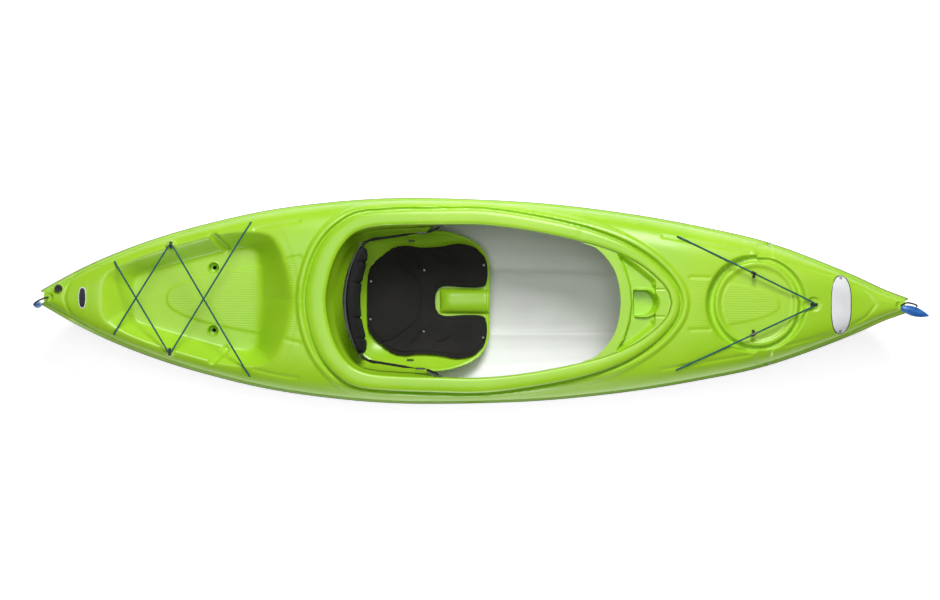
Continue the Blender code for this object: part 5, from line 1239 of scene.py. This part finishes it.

# %% [markdown]
# ## Webbing
# The backrest is held by a strap at each side. It is flat woven webbing on edge, leaning outwards a
# little, and it is made by carrying one thin section with rounded edges along the strap's run.

# %%
STRAP_Z, STRAP_LEAN = 0.284, math.radians(17)


def webbing(name, places, material, width=0.025, thickness=0.0019):
    run = through(places, 40)
    ahead = np.gradient(run, axis=0)
    ahead /= np.linalg.norm(ahead, axis=1)[:, None]
    rings = []
    for k, (place, way) in enumerate(zip(run, ahead)):
        side = np.array([-way[1], way[0], 0.0]) * (1 if place[1] > 0 else -1)
        lean = STRAP_LEAN * min(k, len(run) - 1 - k, 8) / 8
        up = math.cos(lean) * np.array([0, 0, 1.0]) + math.sin(lean) * side
        flat = math.cos(lean) * side - math.sin(lean) * np.array([0, 0, 1.0])
        centre = np.array([place[0], place[1], STRAP_Z])
        ring = []
        for a in np.linspace(0, 2 * math.pi, 12, endpoint=False):
            c, s = math.cos(a), math.sin(a)
            ring.append(centre + up * math.copysign(abs(c) ** 0.35, c) * width / 2
                        + flat * math.copysign(abs(s) ** 0.6, s) * thickness / 2)
        rings.append(ring)
    made = swept(name, rings, material, closed_run=False, caps=True)
    smooth_faces(made, 50)
    return made


def webbing_weave():
    mix = Recipe("webbing_weave", (0.007, 0.007, 0.008), 0.86)
    x, z = mix.axis("X"), mix.axis("Z")
    cords = (z * (2 * math.pi / 0.0021)).wave()
    cross = (x * (2 * math.pi / 0.0017) + cords * 0.8).wave()
    tone = mix.blend(cords.between(-0.3, 1.0) * 0.45, (0.0045, 0.0045, 0.0052), (0.012, 0.012, 0.013))
    height = cords * 0.00022 + cross * 0.00014
    return mix.finish(tone, cross * 0.04 + 0.84, height)


BACK_STRAP = [(-0.3977, 0.2041), (-0.345, 0.216), (-0.285, 0.2255), (-0.240, 0.2325), (-0.2056, 0.2370)]
HIP_STRAP = [(-0.1704, 0.2390), (-0.150, 0.2475), (-0.121, 0.2597)]
weave = webbing_weave()
for side, sign in SIDES:
    rear = webbing(f"back_strap_{side}", [(x, sign * y) for x, y in BACK_STRAP], weave)
    belongs(rear, "boat", "webbing", f"backrest_strap_{side}")
    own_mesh(rear)
    front = webbing(f"hip_strap_{side}", [(x, sign * y) for x, y in HIP_STRAP], weave)
    belongs(front, "boat", "webbing", f"anchor_strap_{side}")
print("four lengths of webbing")

# %% [markdown]
# ## Shock cord and handle cord
# Elastic cord runs in taut straight legs from its holes in the deck through an eye. Its centre line
# is listed, because it follows from where the deck is proud. The short handle cords are stiffer and
# bend in one easy curve. Every cord is a curve with a round section.

# %%
FRONT_RUN = [(0.7075, -0.23374, 0.29759), (0.7075, -0.23374, 0.32077), (0.70966, -0.23272, 0.32439),
             (0.74832, -0.21435, 0.32828), (0.8144, -0.18296, 0.33246), (0.88521, -0.14933, 0.33478),
             (1.15898, -0.01929, 0.32236), (1.16842, -0.0148, 0.32166), (1.18587, -0.00651, 0.31802),
             (1.188, -0.0031, 0.31757), (1.188, 0.0031, 0.31757), (1.18587, 0.00651, 0.31802),
             (1.16842, 0.0148, 0.32166), (1.15898, 0.01929, 0.32236), (0.87813, 0.15269, 0.33491),
             (0.81204, 0.18408, 0.33235), (0.74832, 0.21435, 0.32828), (0.70966, 0.23272, 0.32439),
             (0.7075, 0.23374, 0.32077), (0.7075, 0.23374, 0.29759)]
REAR_RUN_A = [(-1.265, 0.12792, 0.25623), (-1.265, 0.12792, 0.2815), (-1.26385, 0.12604, 0.28483),
              (-1.25719, 0.11515, 0.29022), (-1.25251, 0.10749, 0.29339), (-1.07375, -0.18495, 0.30015),
              (-1.0701, -0.187, 0.3002), (-1.0639, -0.187, 0.3002), (-1.06027, -0.18494, 0.3002),
              (-0.80762, 0.2362, 0.30046), (-0.78817, 0.26861, 0.2881), (-0.787, 0.27056, 0.28395),
              (-0.787, 0.27056, 0.25639)]
REAR_RUN_B = [(-1.265, -0.12792, 0.25623), (-1.265, -0.12792, 0.2815), (-1.26385, -0.12604, 0.28483),
              (-1.25719, -0.11515, 0.29022), (-1.25251, -0.10749, 0.29339), (-1.18681, 0.0, 0.30247),
              (-1.07375, 0.18495, 0.30022), (-1.0701, 0.187, 0.3002), (-1.0639, 0.187, 0.3002),
              (-1.06027, 0.18494, 0.30027), (-0.94932, 0.0, 0.30692), (-0.80762, -0.2362, 0.30046),
              (-0.78817, -0.26861, 0.2881), (-0.787, -0.27056, 0.28395), (-0.787, -0.27056, 0.25639)]


def cord_curve(name, places, diameter, material):
    data = bpy.data.curves.new(name, "CURVE")
    data.dimensions = "3D"
    data.bevel_depth = diameter / 2
    data.bevel_resolution = 4
    data.use_fill_caps = True
    line = data.splines.new("POLY")
    line.points.add(len(places) - 1)
    for point, place in zip(line.points, places):
        point.co = (*place, 1.0)
    made = bpy.data.objects.new(name, data)
    bpy.context.scene.collection.objects.link(made)
    data.materials.append(material)
    return made


def run_length(places):
    return float(np.sum(np.linalg.norm(np.diff(np.array(places, float), axis=0), axis=1)))


def braid(name, dark, light, pitch=0.0035):
    """Braided cover: two sets of slanting strands, some of them lighter."""
    mix = Recipe(name, dark, 0.62)
    x, y = mix.axis("X"), mix.axis("Y")
    one = ((x + y) * (2 * math.pi / pitch)).wave()
    two = ((x - y) * (2 * math.pi / pitch)).wave()
    strands = one.most(two)
    fleck = mix.noise(420.0, 1.0).between(0.52, 0.62)
    tone = mix.blend(strands.between(-0.2, 1.0) * 0.5, dark, light)
    tone = mix.blend(fleck * 0.25, tone, tuple(1.5 * c for c in light))
    return mix.finish(tone, fleck * 0.1 + 0.62, strands * 0.00022)


CORD_DIAMETER, KNOT_RADIUS = 0.006, 0.0056
teal = braid("teal_braid", (0.0015, 0.060, 0.070), (0.0040, 0.165, 0.160))
for name, node, run in (("front_shock_cord", "front_bungee", FRONT_RUN),
                        ("rear_shock_cord_a", "rear_bungee_a", REAR_RUN_A),
                        ("rear_shock_cord_b", "rear_bungee_b", REAR_RUN_B)):
    cord = cord_curve(name, run, CORD_DIAMETER, teal)
    knots = []
    for end in (run[0], run[-1]):
        deselect()
        bpy.ops.mesh.primitive_ico_sphere_add(subdivisions=3, radius=KNOT_RADIUS, location=end)
        bpy.ops.object.transform_apply(location=True, rotation=True, scale=True)
        knots.append(bpy.context.object)
    knot = joined(f"{name}_knots", knots)
    smooth_faces(knot, 60)
    wear(knot, teal)
    belongs(knot, "boat", "bungee_cord", node)
    belongs(cord, "boat", "bungee_cord", node)
    print(name, round(run_length(run), 3), "m")

# %% [markdown]
# ## Carry handles
# Each end has a short cord with a leaf-shaped grip on it. The grip is lofted from lens-shaped rings:
# broad in the middle, rounded where the cord goes in, drawn to a point, with a low ridge along it.

# %%
LEAF = [(0.000, 0.12), (0.012, 0.30), (0.045, 0.47), (0.100, 0.62), (0.180, 0.80), (0.280, 0.94),
        (0.380, 1.00), (0.500, 0.985), (0.620, 0.88), (0.740, 0.70), (0.840, 0.49), (0.920, 0.28),
        (0.970, 0.13), (1.000, 0.03)]
GRIP_LENGTH, BOW_GRIP_TURN = 0.1046, math.radians(-16)


def leaf_grip(name, node, way, broad, half_width, half_height, material):
    """A leaf lofted in the middle of a drawn part's box, along one direction and broad along another."""
    low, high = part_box(node)
    centre = (low + high) / 2
    shares, widths = zip(*LEAF)
    way, broad = Vector(way).normalized(), Vector(broad).normalized()
    up = way.cross(broad)
    rings = []
    for share in np.linspace(0, 1, 46) ** 1.15:
        k = float(np.interp(share, shares, widths))
        middle = Vector(centre) + way * GRIP_LENGTH * (share - 0.5)
        ring = []
        for a in np.linspace(0, 2 * math.pi, 40, endpoint=False):
            c, s = math.cos(a), math.sin(a)
            ridge = 0.16 * math.exp(-(c / 0.13) ** 2) * min(k, 0.8)
            high = half_height * k ** 0.8 * (math.copysign(abs(s) ** 1.25, s) * 0.84 + math.copysign(ridge, s))
            ring.append(middle + broad * half_width * k * c + up * high)
        rings.append(ring)
    made = swept(name, rings, material, closed_run=False, caps=True)
    smooth_faces(made, 60)
    return made


def grip_plastic():
    mix = Recipe("blue_grip", (0.012, 0.115, 0.440), 0.42)
    cloud = mix.noise(60.0, 2.0).between(0.35, 0.65)
    grain = mix.noise(900.0, 2.0)
    tone = mix.blend(cloud, (0.010, 0.105, 0.420), (0.030, 0.170, 0.520))
    return mix.finish(tone, cloud * 0.08 + 0.38, grain * 0.00004, Coat_Weight=0.15)


blue = grip_plastic()
black_braid = braid("black_braid", (0.012, 0.012, 0.013), (0.034, 0.034, 0.036), 0.0030)
bow_way = (math.cos(BOW_GRIP_TURN), math.sin(BOW_GRIP_TURN), 0)
bow_grip = leaf_grip("bow_leaf", "bow_handle_grip", bow_way, (-bow_way[1], bow_way[0], 0), 0.0172, 0.0118, blue)
belongs(bow_grip, "bow_grip", "blue_plastic", "bow_handle_grip")
stern_grip = leaf_grip("stern_leaf", "stern_handle_grip", (0, 0, -1), (0, 1, 0), 0.0130, 0.0165, blue)
belongs(stern_grip, "stern_grip", "blue_plastic", "stern_handle_grip")

BOW_CORD = [(1.498, 0.0, 0.29793), (1.5, 0.0015, 0.30143), (1.507, 0.0065, 0.30343), (1.52, 0.009, 0.30293),
            (1.5402, 0.00417, 0.30623), (1.54926, -0.00051, 0.30623), (1.54789, -0.00531, 0.30623)]
STERN_CORD = [(-1.498, 0.0, 0.29709), (-1.5, -0.0006, 0.30009), (-1.508, -0.003, 0.30229),
              (-1.529, -0.012, 0.30109), (-1.54475, -0.024, 0.29109), (-1.54375, -0.026, 0.27509),
              (-1.54375, -0.026, 0.26969)]
for end, places in (("bow", BOW_CORD), ("stern", STERN_CORD)):
    run = [tuple(float(v) for v in p) for p in through(places, 28)]
    run[0], run[-1] = places[0], places[-1]
    cord = cord_curve(f"{end}_cord", run, CORD_DIAMETER, black_braid)
    belongs(cord, f"{end}_grip", "bungee_cord", f"{end}_handle_cord")
    print(f"{end}_cord", round(run_length(run), 4), "m")

# %% [markdown]
# ## Plain plates and rivets
# A blank oval plate sits on the foredeck ahead of the round dish, with a hollow black rivet near each
# end. A smaller one sits in front of the drain. They are bare panels with a narrow border, a little
# proud of the deck, and their grid takes the deck's own height so that they lie flat on it.

# %%
OVAL_POWER, BORDER = 2.6, 0.0022
EDGE_PROUD, FIELD_PROUD = 0.0006, 0.0010


def deck_plate(name, middle_x, half_x, half_y, proud, material):
    """A rounded plate on the centre line, drawn between an ellipse and a rectangle."""
    made, at = grid(name, 60, 140)
    u, v = at[:, 0], at[:, 1]
    reach = np.maximum(np.abs(u), np.abs(v))
    angle = np.arctan2(v, u)
    sides = np.abs(np.cos(angle)) ** OVAL_POWER + np.abs(np.sin(angle)) ** OVAL_POWER
    round_off = 1.0 / sides ** (1 / OVAL_POWER)
    x = middle_x + half_x * reach * round_off * np.cos(angle)
    y = half_y * reach * round_off * np.sin(angle)
    edge = np.clip((1 - reach) / 0.10, 0, 1)
    z = moulded(x, y) + proud * np.sin(edge * math.pi / 2) - 0.0004 * (edge < 0.02)
    move_points(made, np.column_stack([x, y, z]))
    smooth_faces(made, 50)
    wear(made, material)
    return made


def shades(colour, darker, lighter):
    """A darker and a lighter shade of a colour."""
    return tuple(darker * c for c in colour), tuple(min(1.0, lighter * c) for c in colour)


def plate_skin(name, colour, rough):
    mix = Recipe(name, colour, rough)
    wide = mix.noise(9.0, 2.0)
    fine = mix.noise(700.0, 1.0)
    tone = mix.blend(wide.between(0.3, 0.7), *shades(colour, 0.94, 1.06))
    return mix.finish(tone, wide * 0.08 + (rough - 0.04), fine * 0.00003, Coat_Weight=0.2)


BOW_PLATE_X, RIVET_Y = 1.284, 0.0925
RIVET = [(0.0018, 0.0025), (0.0036, 0.0018), (0.0046, 0.0006), (0.0048, -0.0010)]
white = (plate_skin("plate_white", (0.78, 0.79, 0.80), 0.34), "white_plastic")
dark = (plate_skin("plate_dark", (0.018, 0.018, 0.026), 0.36), "black_plastic")
rivet_black = plate_skin("rivet_black", (0.016, 0.016, 0.017), 0.40)
for name, middle, half_x, half_y, edge, field in (("bow_plate", BOW_PLATE_X, 0.0375, 0.1040, dark, white),
                                                  ("stern_plate", -1.376, 0.0138, 0.0378, white, dark)):
    border = deck_plate(f"{name}_edge", middle, half_x, half_y, EDGE_PROUD, edge[0])
    belongs(border, "boat", edge[1], "deck_shell")
    panel = deck_plate(f"{name}_field", middle, half_x - BORDER, half_y - BORDER, FIELD_PROUD, field[0])
    belongs(panel, "boat", field[1], "deck_shell")
for number, sign in ((1, 1), (2, -1)):
    height = float(moulded(np.array([BOW_PLATE_X]), np.array([sign * RIVET_Y]))[0]) + FIELD_PROUD
    rivet = turned(f"plate_rivet_{number}", RIVET, (BOW_PLATE_X, sign * RIVET_Y, height), rivet_black, 28)
    belongs(rivet, "boat", "black_plastic", "deck_shell")
print("two plates and two rivets")

# %% [markdown]
# ## The plain hardware's looks
# The fastenings, rails, hooks and foam blocks stay as the CAD made them. Each one gets a material
# with its own fine grain and a little unevenness in its gloss.

# %%
def metal(name, colour, rough, streak):
    mix = Recipe(name, colour, rough)
    grain = mix.noise(40.0, 2.0, mix.scaled((1.0, 30.0, 30.0))) if streak else mix.noise(320.0, 2.0)
    tone = mix.blend(grain.between(0.3, 0.7), *shades(colour, 0.88, 1.1))
    return mix.finish(tone, grain * 0.12 + (rough - 0.06), grain * 0.00002, Metallic=1.0)


def cell_foam():
    mix = Recipe("cell_foam", (0.80, 0.80, 0.78), 0.9)
    beads = mix.noise(170.0, 1.0)
    tone = mix.blend(beads.between(0.35, 0.65), (0.74, 0.74, 0.72), (0.84, 0.84, 0.82))
    return mix.finish(tone, beads * 0.1 + 0.82, beads * 0.0004)


black_moulding = plate_skin("black_moulding", (0.015, 0.015, 0.016), 0.46)
shell_black = plate_skin("backrest_black", (0.020, 0.020, 0.021), 0.55)
seal_black = plate_skin("seal_black", (0.020, 0.020, 0.020), 0.70)
snap_silver = metal("snap_silver", (0.20, 0.20, 0.20), 0.42, False)
screw_steel = metal("screw_steel", (0.58, 0.58, 0.60), 0.30, False)
rail_metal = metal("rail_metal", (0.050, 0.050, 0.053), 0.38, True)
foam_white = cell_foam()
LOOKS = [(black_moulding, ("backrest_bracket_", "strap_buckle_", "strap_anchor_", "front_pad_eye",
                           "rear_pad_eye_", "paddle_hook_", "drain_bushing", "drain_plug", "foot_pedal_")),
         (screw_steel, ("backrest_pin_", "rail_screw_")),
         (black_braid, ("bow_handle_knot", "stern_handle_knot")),
         (foam_white, ("bow_foam_block", "stern_foam_block")),
         (snap_silver, ("cushion_snap_",)), (shell_black, ("backrest_shell",)),
         (seal_black, ("drain_seal",)), (rail_metal, ("foot_rail_",))]
dressed = 0
for node, piece in frame["nodes"].items():
    for look, starts in LOOKS:
        if node.startswith(starts):
            for slot in piece.material_slots:
                slot.material = look
            dressed += 1
            break
print("materials on", dressed, "plain parts")
